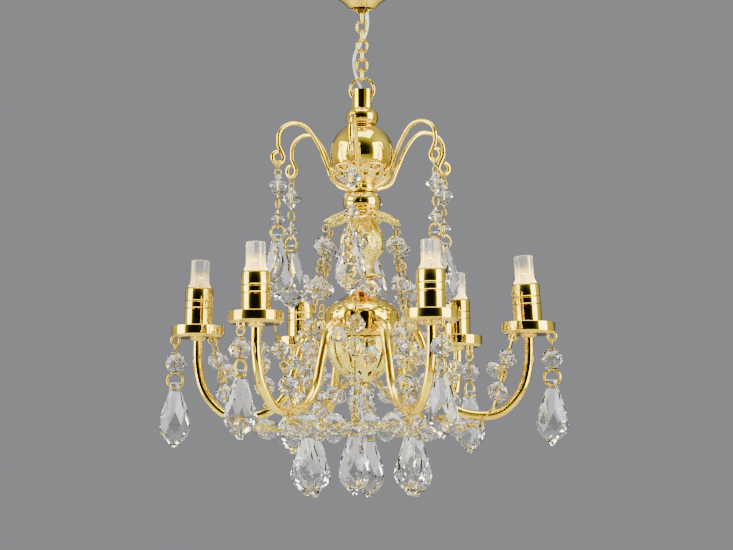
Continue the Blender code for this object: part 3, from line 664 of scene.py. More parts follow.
@dataclass(frozen=True)
class CutCrystal:
    """Clear faceted glass with faint painted colour glints, standing in for dispersion fire, and tiny rubbed
    marks on its edges.
    """

    name: str = "cut_crystal"
    index: float = 1.54

    def material(self) -> bpy.types.Material:
        """Wires the glass."""
        look = Shade(self.name)
        # painted colour glints: faint blue, warm, green and pink patches in the glass colour stand in for
        # dispersion fire
        painted_fire_tint = look.noise(420.0, 2.0)
        tone = look.ramp(
            painted_fire_tint,
            [
                (0.3, (0.93, 0.96, 1.0)),
                (0.45, (1.0, 0.98, 0.95)),
                (0.58, (0.97, 1.0, 0.97)),
                (0.7, (1.0, 0.95, 0.96)),
            ],
        )
        look.wire(Base_Color=tone, IOR=self.index, Transmission_Weight=1.0)
        look.wire(Roughness=look.noise(2400.0, 3.0).smooth(0.66, 0.85) * 0.12)
        look.bump(look.noise(900.0, 2.0), 0.01 * MM, 0.12)
        return look.material


@dataclass(frozen=True)
class LampResin:
    """Clear lamp body, lit from its foot: a warm glow low down that fades towards its flat top."""

    name: str
    foot: float
    top: float
    glow: float = 1.0

    def material(self) -> bpy.types.Material:
        """Wires the resin between two heights."""
        look = Shade(self.name)
        up = (look.height() - self.foot) / (self.top - self.foot)
        stir = look.noise(1500.0, 3.0) * 0.16 - 0.08
        light = look.ramp(
            up + stir,
            [
                (0.0, (1.0, 0.72, 0.09)),
                (0.3, (1.0, 0.7, 0.07)),
                (0.46, (0.5, 0.34, 0.04)),
                (0.6, (0.06, 0.05, 0.03)),
                (0.85, (0.012, 0.011, 0.009)),
                (1.0, (0.05, 0.045, 0.035)),
            ],
        )
        look.wire(Base_Color=look.mix(up.smooth(0.2, 0.9), (1.0, 0.93, 0.8), (0.96, 0.97, 0.97)))
        look.wire(IOR=1.5, Transmission_Weight=0.94, Emission_Strength=2.1 * self.glow, Emission_Color=light)
        look.wire(Roughness=look.noise(1800.0, 3.0).smooth(0.5, 0.8) * 0.06 + 0.015)
        look.bump(look.noise(600.0, 2.0), 0.02 * MM, 0.12)
        return look.material


@dataclass(frozen=True)
class LampChip:
    """The lit chip in its reflector cup: hottest in the middle."""

    name: str = "lamp_chip"
    power: float = 7.0

    def material(self) -> bpy.types.Material:
        """Wires the glow."""
        look = Shade(self.name)
        grain = look.noise(3000.0, 2.0)
        look.wire(Base_Color=(1.0, 0.85, 0.5), Roughness=0.5, Emission_Strength=self.power)
        look.wire(Emission_Color=look.mix(grain.smooth(0.3, 0.7), (1.0, 0.76, 0.28), (1.0, 0.9, 0.55)))
        return look.material


@dataclass(frozen=True)
class TinnedSteel:
    """The lamp's lead frame: dull silver, stained by the resin."""

    name: str = "lead_frame"

    def material(self) -> bpy.types.Material:
        """Wires the metal."""
        look = Shade(self.name)
        stain = look.noise(2200.0, 3.0)
        look.wire(Base_Color=look.mix(stain.smooth(0.35, 0.7), (0.66, 0.62, 0.54), (0.36, 0.31, 0.24)))
        look.wire(Metallic=1.0, Roughness=stain * 0.3 + 0.2)
        look.bump(stain, 0.02 * MM, 0.3)
        return look.material


@dataclass(frozen=True)
class LeadSleeve:
    """Soft white sleeve of the twin lead: slightly uneven, with a faint yellowing."""

    name: str = "lead_sleeve"

    def material(self) -> bpy.types.Material:
        """Wires the sleeve."""
        look = Shade(self.name)
        patch = look.noise(480.0, 4.0)
        pores = look.noise(5200.0, 2.0)
        look.wire(Base_Color=look.mix(patch.smooth(0.4, 0.75), (0.93, 0.92, 0.89), (0.82, 0.79, 0.72)))
        look.wire(Roughness=pores * 0.2 + 0.28, Subsurface_Weight=0.1, Subsurface_Scale=0.4 * MM)
        look.bump(pores * 0.6 + patch, 0.02 * MM, 0.5)
        return look.material


@dataclass(frozen=True)
class StudioCard:
    """Plain matt paper for the studio's floor."""

    name: str
    colour: Triple

    def material(self) -> bpy.types.Material:
        """Wires the paper."""
        look = Shade(self.name)
        tooth = look.noise(900.0, 4.0)
        shaded = tuple(0.96 * part for part in self.colour)
        look.wire(Base_Color=look.mix(tooth, self.colour, shaded), Roughness=0.85)
        look.bump(tooth, 0.05 * MM, 0.2)
        return look.material


@dataclass
class Finishes:
    """Every finish, wired once and shared."""

    polish: bpy.types.Material = field(default_factory=lambda: PolishedGilt().material())
    cast: bpy.types.Material = field(default_factory=lambda: CastGilt().material())
    brass: bpy.types.Material = field(default_factory=lambda: BrassWire().material())
    crystal: bpy.types.Material = field(default_factory=lambda: CutCrystal().material())
    frame: bpy.types.Material = field(default_factory=lambda: TinnedSteel().material())
    chip: bpy.types.Material = field(default_factory=lambda: LampChip().material())
    sleeve: bpy.types.Material = field(default_factory=lambda: LeadSleeve().material())


def dress(
    obj: bpy.types.Object,
    finish: bpy.types.Material,
    body: str,
    stands_for: Sequence[str] = (),
) -> bpy.types.Object:
    """Gives a finished mesh its material and body, and hides the plain solid it stands for.

    Args:
        obj: the finished piece.
        finish: its material.
        body: the body that it moves with.
        stands_for: the plain solids that it replaces.

    Returns:
        The piece.
    """
    obj.data.materials.clear()
    obj.data.materials.append(finish)
    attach(obj, body)
    if stands_for:
        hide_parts(*stands_for)
    LOG.info("%s: %d faces on %s", obj.name, len(obj.data.polygons), body)
    return obj


# ---------------------------------------------------------------- rose, chain and lead


def heights(node: str) -> tuple[float, float]:
    """The lowest and highest points of a plain solid."""
    low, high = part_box(node)
    return low.z, high.z


@dataclass
class CeilingRose:
    """The dished rose against the ceiling, open in the middle for the chain."""

    radius: float = 10.0 * MM
    wall: float = 0.35 * MM
    mouth: float = 1.7 * MM
    gap: float = 0.1 * MM
    side: tuple[tuple[float, float], ...] = (
        (10.0, 0.1),
        (9.95, 0.8),
        (9.55, 1.7),
        (8.4, 2.5),
        (6.5, 3.2),
        (4.7, 3.95),
        (3.4, 4.75),
        (2.65, 5.5),
        (2.1, 6.0),
    )

    def cover(self) -> bpy.types.Object:
        """Spins the dish, rolls its mouth and rim, and rounds every edge."""
        outer = rounded([(wide * MM, -deep * MM) for wide, deep in self.side], 6)
        inner = []
        for (r0, z0), (r1, z1) in zip(outer, [*outer[1:], outer[-1]]):
            along = Vector((r1 - r0, 0, z1 - z0))
            out = Vector((along.z, 0, -along.x)).normalized() if along.length > 0 else Vector((-1, 0, 0))
            inner.append((r0 + self.wall * out.x, min(-self.gap, z0 + self.wall * out.z)))
        inner[-1] = (self.mouth, outer[-1][1] + self.wall)
        dish = spun("canopy_cover_fine", [*outer, (self.mouth, outer[-1][1]), *inner[::-1]], 96)
        applied(dish, "BEVEL", width=0.09 * MM, segments=2, limit_method="ANGLE", angle_limit=0.9)
        beading = wire("rim_beading", self.circle(self.radius - 0.12 * MM, -0.55 * MM), 0.5 * MM, True)
        return smooth(joined("canopy_cover_fine", [dish, beading]))

    @staticmethod
    def circle(radius: float, height: float, steps: int = 96) -> list[Vector]:
        """Points round the axis."""
        return [at(radius, math.tau * n / steps, height) for n in range(steps)]

    def build(self, finishes: Finishes, nodes: dict[str, bpy.types.Object]) -> None:
        """Builds the cover and dresses it and the plate.

        Args:
            finishes: the shared materials.
            nodes: the plain solids by name.
        """
        dress(self.cover(), finishes.polish, "ceiling", ["canopy_cover"])
        nodes["canopy_base"].data.materials.clear()
        nodes["canopy_base"].data.materials.append(finishes.brass)


@dataclass
class HangingChain:
    """Seven oval links and the jump ring that carries the stem."""

    links: int = 7
    wire_size: float = 0.42 * MM
    length: float = 2.56 * MM
    width: float = 2.15 * MM
    link_gap: float = 0.05 * MM
    staple_z: float = -6.9 * MM
    staple_wire: float = 0.5 * MM
    ring_radius: float = 2.05 * MM
    ring_wire: float = 0.5 * MM

    def link_pivot(self, number: int) -> float:
        """The height of the wire that link number hangs from."""
        if number == 1:
            return self.staple_z
        pitch = self.length - 2 * self.wire_size - self.link_gap
        drop = (self.length - self.wire_size) / 2
        first = self.staple_z + (self.staple_wire + self.wire_size) / 2 + self.link_gap - drop
        return first - (number - 2) * pitch - drop

    @property
    def ring_pivot(self) -> float:
        """The height of the wire that the jump ring hangs from."""
        return self.link_pivot(self.links + 1)

    @property
    def ring_centre(self) -> float:
        """The middle of the jump ring."""
        return self.ring_pivot + (self.wire_size + self.ring_wire) / 2 + self.link_gap - self.ring_radius

    def link_line(self, top: float) -> list[Vector]:
        """An oval's centre line in the XZ plane, its highest wire at top."""
        radius = (self.width - self.wire_size) / 2
        low = top - radius - (self.length - self.width)
        return hoop(radius, 0, top - radius, 12, 0, 180) + hoop(radius, 0, low, 12, 180, 180)

    def build(self, finishes: Finishes) -> None:
        """Builds every link and the split ring."""
        for number in range(1, self.links + 1):
            above = self.staple_wire if number == 1 else self.wire_size
            top = (above + self.wire_size) / 2 + self.link_gap
            link = wire(f"link_{number}_wire", self.link_line(top), self.wire_size, True, 4)
            placed(link, shift(0, 0, self.link_pivot(number)) @ turn_z(math.pi / 2 * (number % 2)))
            dress(link, finishes.polish, f"link_{number}", [f"chain_link_{number}"])
        split = hoop(self.ring_radius, 0, self.ring_centre, 72, 62, 357)
        ring = wire("jump_ring_wire", split, self.ring_wire, False, 5)
        dress(ring, finishes.polish, "ring", ["jump_ring"])


@dataclass
class TwinLead:
    """The flat twin lead from the stem's head, beside and behind the chain, up into the rose."""

    chain: HangingChain
    core: float = 0.42 * MM
    spread: float = 0.19 * MM
    above_mouth: float = 0.4 * MM
    tongue: float = 0.45 * MM
    draw_in: float = 0.25
    route: tuple[Triple, ...] = (
        (-0.1, 0.8, -22.69),
        (-0.15, 0.8, -21.74),
        (-0.3, 0.75, -19.79),
        (-0.95, 0.85, -18.04),
        (-1.45, 0.75, -15.87),
        (-1.35, 1.0, -13.76),
        (-0.6, 1.6, -11.91),
        (0.3, 1.75, -10.2),
        (0.75, 1.2, -8.48),
        (0.7, 0.8, -6.7),
        (0.6, 0.95, -4.5),
    )

    def section(self) -> bpy.types.Object:
        """The two cores and the skin between them, as one outline."""
        clear_selection()
        bpy.ops.curve.primitive_nurbs_circle_add(radius=self.core / 2, location=(0, 0, 0))
        outline = bpy.context.object
        outline.name = "lead_section"
        outline.data.splines.clear()
        spline = outline.data.splines.new("POLY")
        points = []
        for side in (1, -1):
            for n in range(9):
                turn = math.radians(-125 + 250 * n / 8) + (0 if side > 0 else math.pi)
                x = side * self.spread + self.core / 2 * math.cos(turn)
                points.append((x, self.core / 2 * math.sin(turn), 0.0, 1.0))
        spline.points.add(len(points) - 1)
        for point, place in zip(spline.points, points):
            point.co = place
        spline.use_cyclic_u = True
        return outline

    def lead(self, points: Sequence[Vector]) -> bpy.types.Object:
        """Sweeps the outline along the route's points."""
        section = self.section()
        obj = swept("lamp_lead_twin", points)
        obj.data.bevel_mode = "OBJECT"
        obj.data.bevel_object = section
        lead = meshed(obj, 45)
        drop_model(section)
        return lead

    def stretch(self, whole: bpy.types.Object, number: int, high: float, low: float) -> bpy.types.Object:
        """One stretch of the lead between two heights, with its ends closed.

        Args:
            whole: the whole lead.
            number: the stretch's number from the top.
            high: the height of its upper cut.
            low: the height of its lower cut.

        Returns:
            The stretch.
        """
        part = copied(whole, f"lamp_lead_{number}", Matrix.Identity(4))
        for cut, upward in ((high, True), (low, False)):
            edit(part)
            bpy.ops.mesh.bisect(
                plane_co=(0, 0, cut),
                plane_no=(0, 0, 1),
                use_fill=True,
                clear_outer=upward,
                clear_inner=not upward,
            )
            bpy.ops.mesh.select_all(action="SELECT")
            bpy.ops.mesh.fill_holes(sides=0)
            close(part)
        return part

    def slim(self, part: bpy.types.Object, points: Sequence[Vector], joint: float) -> None:
        """Draws in the tongue above a joint, so that it hides inside the stretch above.

        Args:
            part: the stretch below the joint.
            points: the route's points.
            joint: the joint's height.
        """
        for vertex in part.data.vertices:
            share = min(1.0, max(0.0, (vertex.co.z - joint) / (0.5 * self.tongue)))
            middle = min(points, key=lambda point: abs(point.z - vertex.co.z))
            vertex.co.x += (middle.x - vertex.co.x) * share * self.draw_in
            vertex.co.y += (middle.y - vertex.co.y) * share * self.draw_in

    def build(self, finishes: Finishes) -> None:
        """Cuts the lead at the joints, so that each stretch swings with the link beside it."""
        points = curve_through([tuple(part * MM for part in place) for place in self.route], 10)
        whole = self.lead(points)
        chain = self.chain
        joints = [chain.link_pivot(n) for n in range(1, chain.links + 1)]
        joints += [chain.ring_pivot, heights("stem_tube")[1] + self.above_mouth]
        names = ["ceiling", *(f"link_{n}" for n in range(1, chain.links + 1)), "ring", "column"]
        for n, body in enumerate(names):
            high = joints[n - 1] + self.tongue if n else 0.0
            low = joints[n] if n < len(joints) else -1.0
            part = self.stretch(whole, n + 1, high, low)
            if n:
                self.slim(part, points, joints[n - 1])
            dress(part, finishes.sleeve, body, ["lamp_lead"])
        drop_model(whole)


# ---------------------------------------------------------------- column


def bead_section(
    radius: float, high: float, low: float, bore: float, ends: float
) -> list[tuple[float, float]]:
    """A rounded bead's section, from its top edge round the outside and back up its bore.

    Args:
        radius: the bead's widest radius.
        high: its top.
        low: its foot.
        bore: the hole's radius.
        ends: the end faces' share of the widest radius.

    Returns:
        The section's points.
    """
    outer = []
    for n in range(21):
        turn = math.pi * n / 20
        bulge = ends + (1 - ends) * math.sin(turn)
        outer.append((radius * bulge, high - (high - low) * (1 - math.cos(turn)) / 2))
    return [(bore, high), *outer, (bore, low)]


def leaf_share(point: Vector, leaves: int, start: float = 0.0) -> float:
    """How far round its own leaf a point is, from -0.5 to 0.5, where 0 is the leaf's rib."""
    share = ((math.atan2(point.y, point.x) - start) / math.tau * leaves) % 1.0
    return share if share <= 0.5 else share - 1.0


def in_oval(across: float, along: float, centre: tuple[float, float], half: tuple[float, float]) -> bool:
    """Whether a place lies in an oval."""
    return ((across - centre[0]) / half[0]) ** 2 + ((along - centre[1]) / half[1]) ** 2 < 1.0


@dataclass
class Column:
    """Everything that threads on the stem, from the collar to the finial."""

    bore: float = 1.0 * MM
    collar_radius: float = 2.75 * MM
    ball_radius: float = 5.35 * MM
    seat_radius: float = 2.6 * MM
    leaves: int = 6
    leaf_wall: float = 0.34 * MM
    vase_radius: float = 3.25 * MM
    petal_tip: float = 6.95 * MM
    petal_valley: float = 3.9 * MM
    petal_hub: float = 2.1 * MM
    petal_droop: float = 2.05 * MM
    washer_radius: float = 3.8 * MM
    baluster_radius: float = 3.8 * MM
    bowl_radius: float = 6.4 * MM
    bowl_neck: float = 2.1 * MM
    bowl_wall: float = 0.6 * MM
    basket_radius: float = 6.0 * MM
    basket_slots: int = 12
    finial_ring: float = 0.75 * MM
    finial_wire: float = 0.6 * MM
    arm_rod: float = 1.6 * MM
    port_rise: float = 2.2 * MM

    def ball(self) -> bpy.types.Object:
        """The large mirror-bright ball, flat at its two seats."""
        low, high = heights("upper_ball")
        middle = (low + high) / 2
        first = math.asin(self.seat_radius / self.ball_radius)
        outer = []
        for n in range(33):
            turn = first + (math.pi - 2 * first) * n / 32
            outer.append((self.ball_radius * math.sin(turn), middle + self.ball_radius * math.cos(turn)))
        return smooth(spun("upper_ball_fine", [(self.bore, high), *outer, (self.bore, low)], 96), 40)

    def leaf_cup(self) -> bpy.types.Object:
        """A filigree cup of open leaves that hugs the ball and turns out at its rim."""
        low, _ = heights("leaf_cup")
        ball_low, ball_high = heights("upper_ball")
        middle = (ball_low + ball_high) / 2
        hug = self.ball_radius + 0.14 * MM
        start = math.acos(min(1.0, (middle - low - 0.1 * MM) / hug))
        section = [(self.bore, low + 0.15 * MM), (self.seat_radius * 0.75, low + 0.15 * MM)]
        for n in range(17):
            turn = start + (math.radians(66) - start) * n / 16
            flare = max(0.0, n / 16 - 0.6) / 0.4
            wide = hug * math.sin(turn) + 0.42 * MM * flare**1.5
            section.append((wide, middle - hug * math.cos(turn) - 0.1 * MM * flare))
        cup = spun("leaf_cup_fine", section, 144, closed=False)
        base = low + 0.6 * MM
        rise = middle - hug * math.cos(math.radians(66)) - base

        def hole(point: Vector) -> bool:
            """Open loops near each tip, and two small ones at its foot."""
            across, up = leaf_share(point, self.leaves), (point.z - base) / rise
            tip = in_oval(across, up, (0.0, 0.74), (0.22, 0.13)) and abs(across) > 0.03
            feet = in_oval(abs(across), up, (0.26, 0.36), (0.1, 0.13))
            notch = up > 1.0 - 2.6 * max(0.0, abs(across) - 0.3)
            return tip or feet or notch

        def curl(point: Vector) -> Vector:
            """Lifts each leaf's tip and rib, and raises beading along its edges."""
            across, up = leaf_share(point, self.leaves), max(0.0, (point.z - base) / rise)
            swell = 0.12 * MM * math.cos(across * math.tau) * up
            ripple = 0.05 * MM * math.sin(across * 44.0) * min(1.0, up * 2)
            reach = Vector((point.x, point.y, 0)).length or 1.0
            scale = (reach + swell + ripple) / reach
            lift = 0.2 * MM * math.cos(across * math.tau) * up**3
            return Vector((point.x * scale, point.y * scale, point.z + lift))

        return smooth(filigree(cup, hole, curl, self.leaf_wall, 1.0), 60)

    def petal_cap(self) -> bpy.types.Object:
        """Six drooping petals of open wirework, with small petals curling below them."""
        _, top = heights("petal_cap")
        large = self.petals("petal_cap_fine", top, self.petal_tip, self.petal_valley, HALF_STEP, 1.0)
        small = self.petals("small_petals", top - 0.42 * MM, 4.7 * MM, 2.9 * MM, 0.0, 1.5)
        return smooth(joined("petal_cap_fine", [large, small]), 60)

    def petals(
        self, name: str, top: float, tip: float, valley: float, start: float, fall: float
    ) -> bpy.types.Object:
        """One layer of petals.

        Args:
            name: the layer's name.
            top: the height of its flat middle.
            tip: the radius of a petal's tip.
            valley: the radius between petals.
            start: the bearing of the first petal.
            fall: how steeply the petals droop.

        Returns:
            The layer, with its thickness.
        """
        rings = 22
        section = [(self.bore + (tip - self.bore) * n / rings, top) for n in range(rings + 1)]
        sheet = spun(name, section, 144, closed=False)

        def hole(point: Vector) -> bool:
            """The open loops on each side of the petal's rib, and a pair nearer the hub."""
            across = leaf_share(point, ARM_COUNT, start)
            out = (Vector((point.x, point.y)).length - self.bore) / (tip - self.bore)
            rib = abs(across) < 0.035
            loop = in_oval(across, out, (0.0, 0.66), (0.27, 0.2)) and not rib
            inner = in_oval(abs(across), out, (0.3, 0.37), (0.1, 0.1))
            return loop or inner

        def droop(point: Vector) -> Vector:
            """Draws the outline in between the petals and lets their tips fall."""
            across = leaf_share(point, ARM_COUNT, start)
            flat = Vector((point.x, point.y, 0))
            share = (flat.length - self.bore) / (tip - self.bore)
            edge = valley + (tip - valley) * abs(math.cos(across * math.pi)) ** 0.8
            reach = self.bore + (edge - self.bore) * share
            out = max(0.0, (reach - self.petal_hub) / (self.petal_tip - self.petal_hub))
            rim = 0.12 * MM * max(0.0, share - 0.86) / 0.14
            bead = 0.05 * MM * math.sin(share * 60.0 + abs(across) * 30.0)
            depth = self.petal_droop * fall * out**1.6
            place = flat.normalized() * reach
            return Vector((place.x, place.y, top - depth + rim + bead))

        return filigree(sheet, hole, droop, 0.36 * MM, -1.0)

    def baluster(self) -> bpy.types.Object:
        """The cast pear-shaped bead, its belly covered in low leaf scrolls."""
        low, high = heights("baluster")
        tall = high - low
        shape = (
            (0.45, 0.0),
            (0.62, 0.12),
            (0.86, 0.27),
            (1.0, 0.46),
            (0.93, 0.6),
            (0.7, 0.73),
            (0.5, 0.86),
            (0.53, 0.93),
            (0.65, 1.0),
        )
        outer = rounded([(self.baluster_radius * wide, high - tall * down) for wide, down in shape], 8)
        pear = spun("baluster_fine", [(self.bore, high), *outer, (self.bore, low)], 144)

        def scroll(point: Vector) -> Vector:
            """Raises two tiers of leaves with ribs and turned edges."""
            down = (high - point.z) / tall
            flat = Vector((point.x, point.y, 0))
            if flat.length < self.bore * 1.3:
                return point
            tier = down * 3.4
            across = leaf_share(point, 8, math.pi / 8 * (int(tier) % 2))
            edge = math.cos(across * math.tau) - (tier % 1.0 - 0.45) * 1.2
            leaf = 0.13 * MM * max(-1.0, min(1.0, edge * 3.0))
            rib = 0.07 * MM * math.exp(-((across / 0.035) ** 2))
            veins = 0.045 * MM * math.sin(abs(across) * 60 + tier * 16)
            fade = min(1.0, down * 8, max(0.0, (0.84 - down) * 6))
            reach = flat.length + (leaf + rib + veins - 0.1 * MM) * fade
            flat = flat.normalized() * reach
            return Vector((flat.x, flat.y, point.z))

        return smooth(moulded(pear, scroll), 70)

    def bowl(self) -> bpy.types.Object:
        """The polished bowl, with a small collar round each arm's port."""
        low, high = heights("bowl")
        tall, side, wall = high - low, self.bowl_radius, self.bowl_wall
        over = rounded(
            [
                (self.bowl_neck * 0.9, high),
                (self.bowl_neck, high - 0.12 * tall),
                (self.bowl_neck * 1.1, high - 0.24 * tall),
                (side * 0.53, high - 0.34 * tall),
                (side * 0.81, high - 0.44 * tall),
                (side * 0.96, high - 0.55 * tall),
                (side, high - 0.66 * tall),
                (side, low + 0.9 * MM),
            ],
            6,
        )
        under = [
            (side - wall, low + 0.9 * MM),
            (side - wall, high - 0.68 * tall),
            (side * 0.78, high - 0.54 * tall),
            (side * 0.5, high - 0.44 * tall),
            (self.bore, high - 0.36 * tall),
            (self.bore, high),
        ]
        shell = spun("bowl_fine", [*over, (side * 0.93, low), (side * 0.93 - wall, low), *under], 96)
        applied(shell, "BEVEL", width=0.08 * MM, segments=2, limit_method="ANGLE", angle_limit=0.7)
        moulding = wire("bowl_moulding", CeilingRose.circle(side * 0.975, low + 0.75 * MM), 0.42 * MM, True)
        pieces = [shell, moulding]
        for n in range(ARM_COUNT):
            collar = spun(f"port_collar_{n}", self.collar_section(), 32)
            place = turn_z(n * ARM_STEP) @ shift(side, 0, low + self.port_rise)
            pieces.append(placed(collar, place @ Matrix.Rotation(math.pi / 2, 4, "Y")))
        return smooth(joined("bowl_fine", pieces), 40)

    def collar_section(self) -> list[tuple[float, float]]:
        """The rounded collar where an arm leaves the bowl."""
        bore = self.arm_rod / 2 + 0.03 * MM
        return [
            (bore, -0.25 * MM),
            (bore + 0.3 * MM, -0.25 * MM),
            (bore + 0.36 * MM, 0.0),
            (bore + 0.26 * MM, 0.2 * MM),
            (bore, 0.28 * MM),
        ]

    def basket(self) -> bpy.types.Object:
        """The openwork cup: raised ribs, long slots between them and a scalloped rim."""
        low, high = heights("lattice_basket")
        tall = high - low
        rings = 34

        def side(share: float) -> float:
            """The cup's radius at a share of its height down from its rim."""
            return self.basket_radius * math.cos(math.radians(75) * share**1.5)

        section = [(side(n / rings), high - tall * n / rings) for n in range(rings + 1)]
        section += [(self.bore, low)]
        cup = spun("lattice_basket_fine", section, 192, closed=False)

        def hole(point: Vector) -> bool:
            """Slots between the panels, a lozenge lattice in them, and notches in the rim."""
            down = (high - point.z) / tall
            across = leaf_share(point, self.basket_slots)
            slot = abs(abs(across) - 0.5) < 0.07 and 0.1 < down < 0.72
            scallop = down < 0.05 * (2 * abs(across)) ** 3
            lattice = False
            if 0.16 < down < 0.66 and 0.05 < abs(across) < 0.34:
                first = (down * 17 + across * 7.0) % 1.0
                second = (down * 17 - across * 7.0) % 1.0
                lattice = 0.3 < first < 0.75 and 0.3 < second < 0.75
            foot = in_oval(across, down, (0.0, 0.83), (0.2, 0.055))
            return slot or scallop or lattice or foot

        def swell(point: Vector) -> Vector:
            """Raises a rolled edge along each panel and a rib up its middle."""
            across, down = leaf_share(point, self.basket_slots), (high - point.z) / tall
            flat = Vector((point.x, point.y, 0))
            if flat.length < 1.6 * MM:
                return point
            edge = math.exp(-(((abs(across) - 0.4) / 0.04) ** 2))
            rib = math.exp(-((across / 0.04) ** 2))
            hollow = 0.14 * MM * math.cos(across * math.tau)
            rim = 0.14 * MM * math.exp(-(((down - 0.03) / 0.03) ** 2))
            fade = min(1.0, max(0.0, (0.95 - down) * 4))
            reach = flat.length + (0.12 * MM * edge + 0.08 * MM * rib + hollow - 0.12 * MM) * fade + rim
            flat = flat.normalized() * reach
            return Vector((flat.x, flat.y, point.z))

        return smooth(filigree(cup, hole, swell, 0.3 * MM, -1.0), 60)

    def finial(self) -> bpy.types.Object:
        """The end nut with its ring."""
        low, high = heights("finial_eye")
        nut_low = low + 2 * self.finial_ring + self.finial_wire / 2
        section = [
            (0.0, high),
            (1.15 * MM, high),
            (1.3 * MM, high - 0.12 * MM),
            (1.3 * MM, high - 0.3 * MM),
            (1.04 * MM, nut_low + 0.05 * MM),
            (0.5 * MM, nut_low - 0.12 * MM),
            (0.0, nut_low - 0.15 * MM),
        ]
        nut = spun("finial_fine", section, 48, closed=False)
        line = hoop(self.finial_ring, 0, nut_low - self.finial_ring, 48)
        return smooth(joined("finial_fine", [nut, wire("finial_ring", line, self.finial_wire, True, 5)]), 40)

    def plain(self, node: str, radius: float, ends: float) -> bpy.types.Object:
        """One smooth polished bead in place of a plain solid."""
        low, high = heights(node)
        return smooth(spun(f"{node}_fine", bead_section(radius, high, low, self.bore, ends), 96), 40)

    def build(self, finishes: Finishes, nodes: dict[str, bpy.types.Object]) -> None:
        """Builds and dresses the whole column.

        Args:
            finishes: the shared materials.
            nodes: the plain solids by name.
        """
        nodes["stem_tube"].data.materials.clear()
        nodes["stem_tube"].data.materials.append(finishes.polish)
        pieces: tuple[tuple[str, Callable[[], bpy.types.Object], bpy.types.Material], ...] = (
            ("collar_bead", lambda: self.plain("collar_bead", self.collar_radius, 0.62), finishes.polish),
            ("upper_ball", self.ball, finishes.polish),
            ("leaf_cup", self.leaf_cup, finishes.cast),
            ("vase_bead", lambda: self.plain("vase_bead", self.vase_radius, 0.6), finishes.polish),
            ("petal_cap", self.petal_cap, finishes.cast),
            ("baluster", self.baluster, finishes.cast),
            ("neck_washer", lambda: self.plain("neck_washer", self.washer_radius, 0.93), finishes.polish),
            ("bowl", self.bowl, finishes.polish),
            ("lattice_basket", self.basket, finishes.cast),
            ("finial_eye", self.finial, finishes.polish),
        )
        for node, made, finish in pieces:
            dress(made(), finish, "column", [node])


# ---------------------------------------------------------------- crooks and candle arms


@dataclass
class CrookCrown:
    """The hub and its six brazed crooks, each bent into an open eye."""

    reach: float = 15.3 * MM
    rise: float = 10.4 * MM
    eye_rise: float = 4.1 * MM
    eye_radius: float = 0.75 * MM
    eye_bend: float = 1.0 * MM
    wire_size: float = 0.75 * MM
    hub_radius: float = 2.6 * MM
    hub_height: float = 1.4 * MM
    bore: float = 1.0 * MM
    sweep: tuple[tuple[float, float], ...] = (
        (0.14, -0.02),
        (0.335, 0.09),
        (0.41, 0.3),
        (0.52, 0.66),
        (0.66, 0.935),
        (0.8, 1.0),
        (0.93, 0.93),
        (0.99, 0.8),
    )

    @property
    def hub_z(self) -> float:
        """The middle of the hub."""
        low, _ = heights("leaf_cup")
        return low - 0.1 * MM - self.hub_height / 2

    @property
    def eye_z(self) -> float:
        """The middle of each eye."""
        return self.hub_z + self.eye_rise

    def line(self) -> list[Vector]:
        """One crook's centre line in the XZ plane."""
        rise = [(share * self.reach, 0, self.hub_z + lift * self.rise) for share, lift in self.sweep]
        middle = self.eye_z + self.eye_bend - self.eye_radius
        rise.append((self.reach - 0.05 * MM, 0, middle + 2.1 * self.eye_bend))
        line = curve_through(rise, 8)
        for n in range(25):
            turn = math.radians(155 + 292 * n / 24)
            out = self.reach + self.eye_bend * math.cos(turn)
            line.append(Vector((out, 0, middle + self.eye_bend * math.sin(turn))))
        return line

    def build(self, finishes: Finishes) -> None:
        """Builds the hub and the crooks as one piece."""
        high = self.hub_z + self.hub_height / 2
        low = self.hub_z - self.hub_height / 2
        hub = spun("crook_crown_fine", bead_section(self.hub_radius, high, low, self.bore, 0.8), 64)
        model = wire("crook_model", self.line(), self.wire_size, False, 4)
        pieces = [hub]
        for n in range(ARM_COUNT):
            pieces.append(copied(model, f"crook_{n + 1}", turn_z((n + 0.5) * ARM_STEP)))
        drop_model(model)
        crown = smooth(joined("crook_crown_fine", pieces), 50)
        dress(crown, finishes.polish, "column", ["crook_crown"])


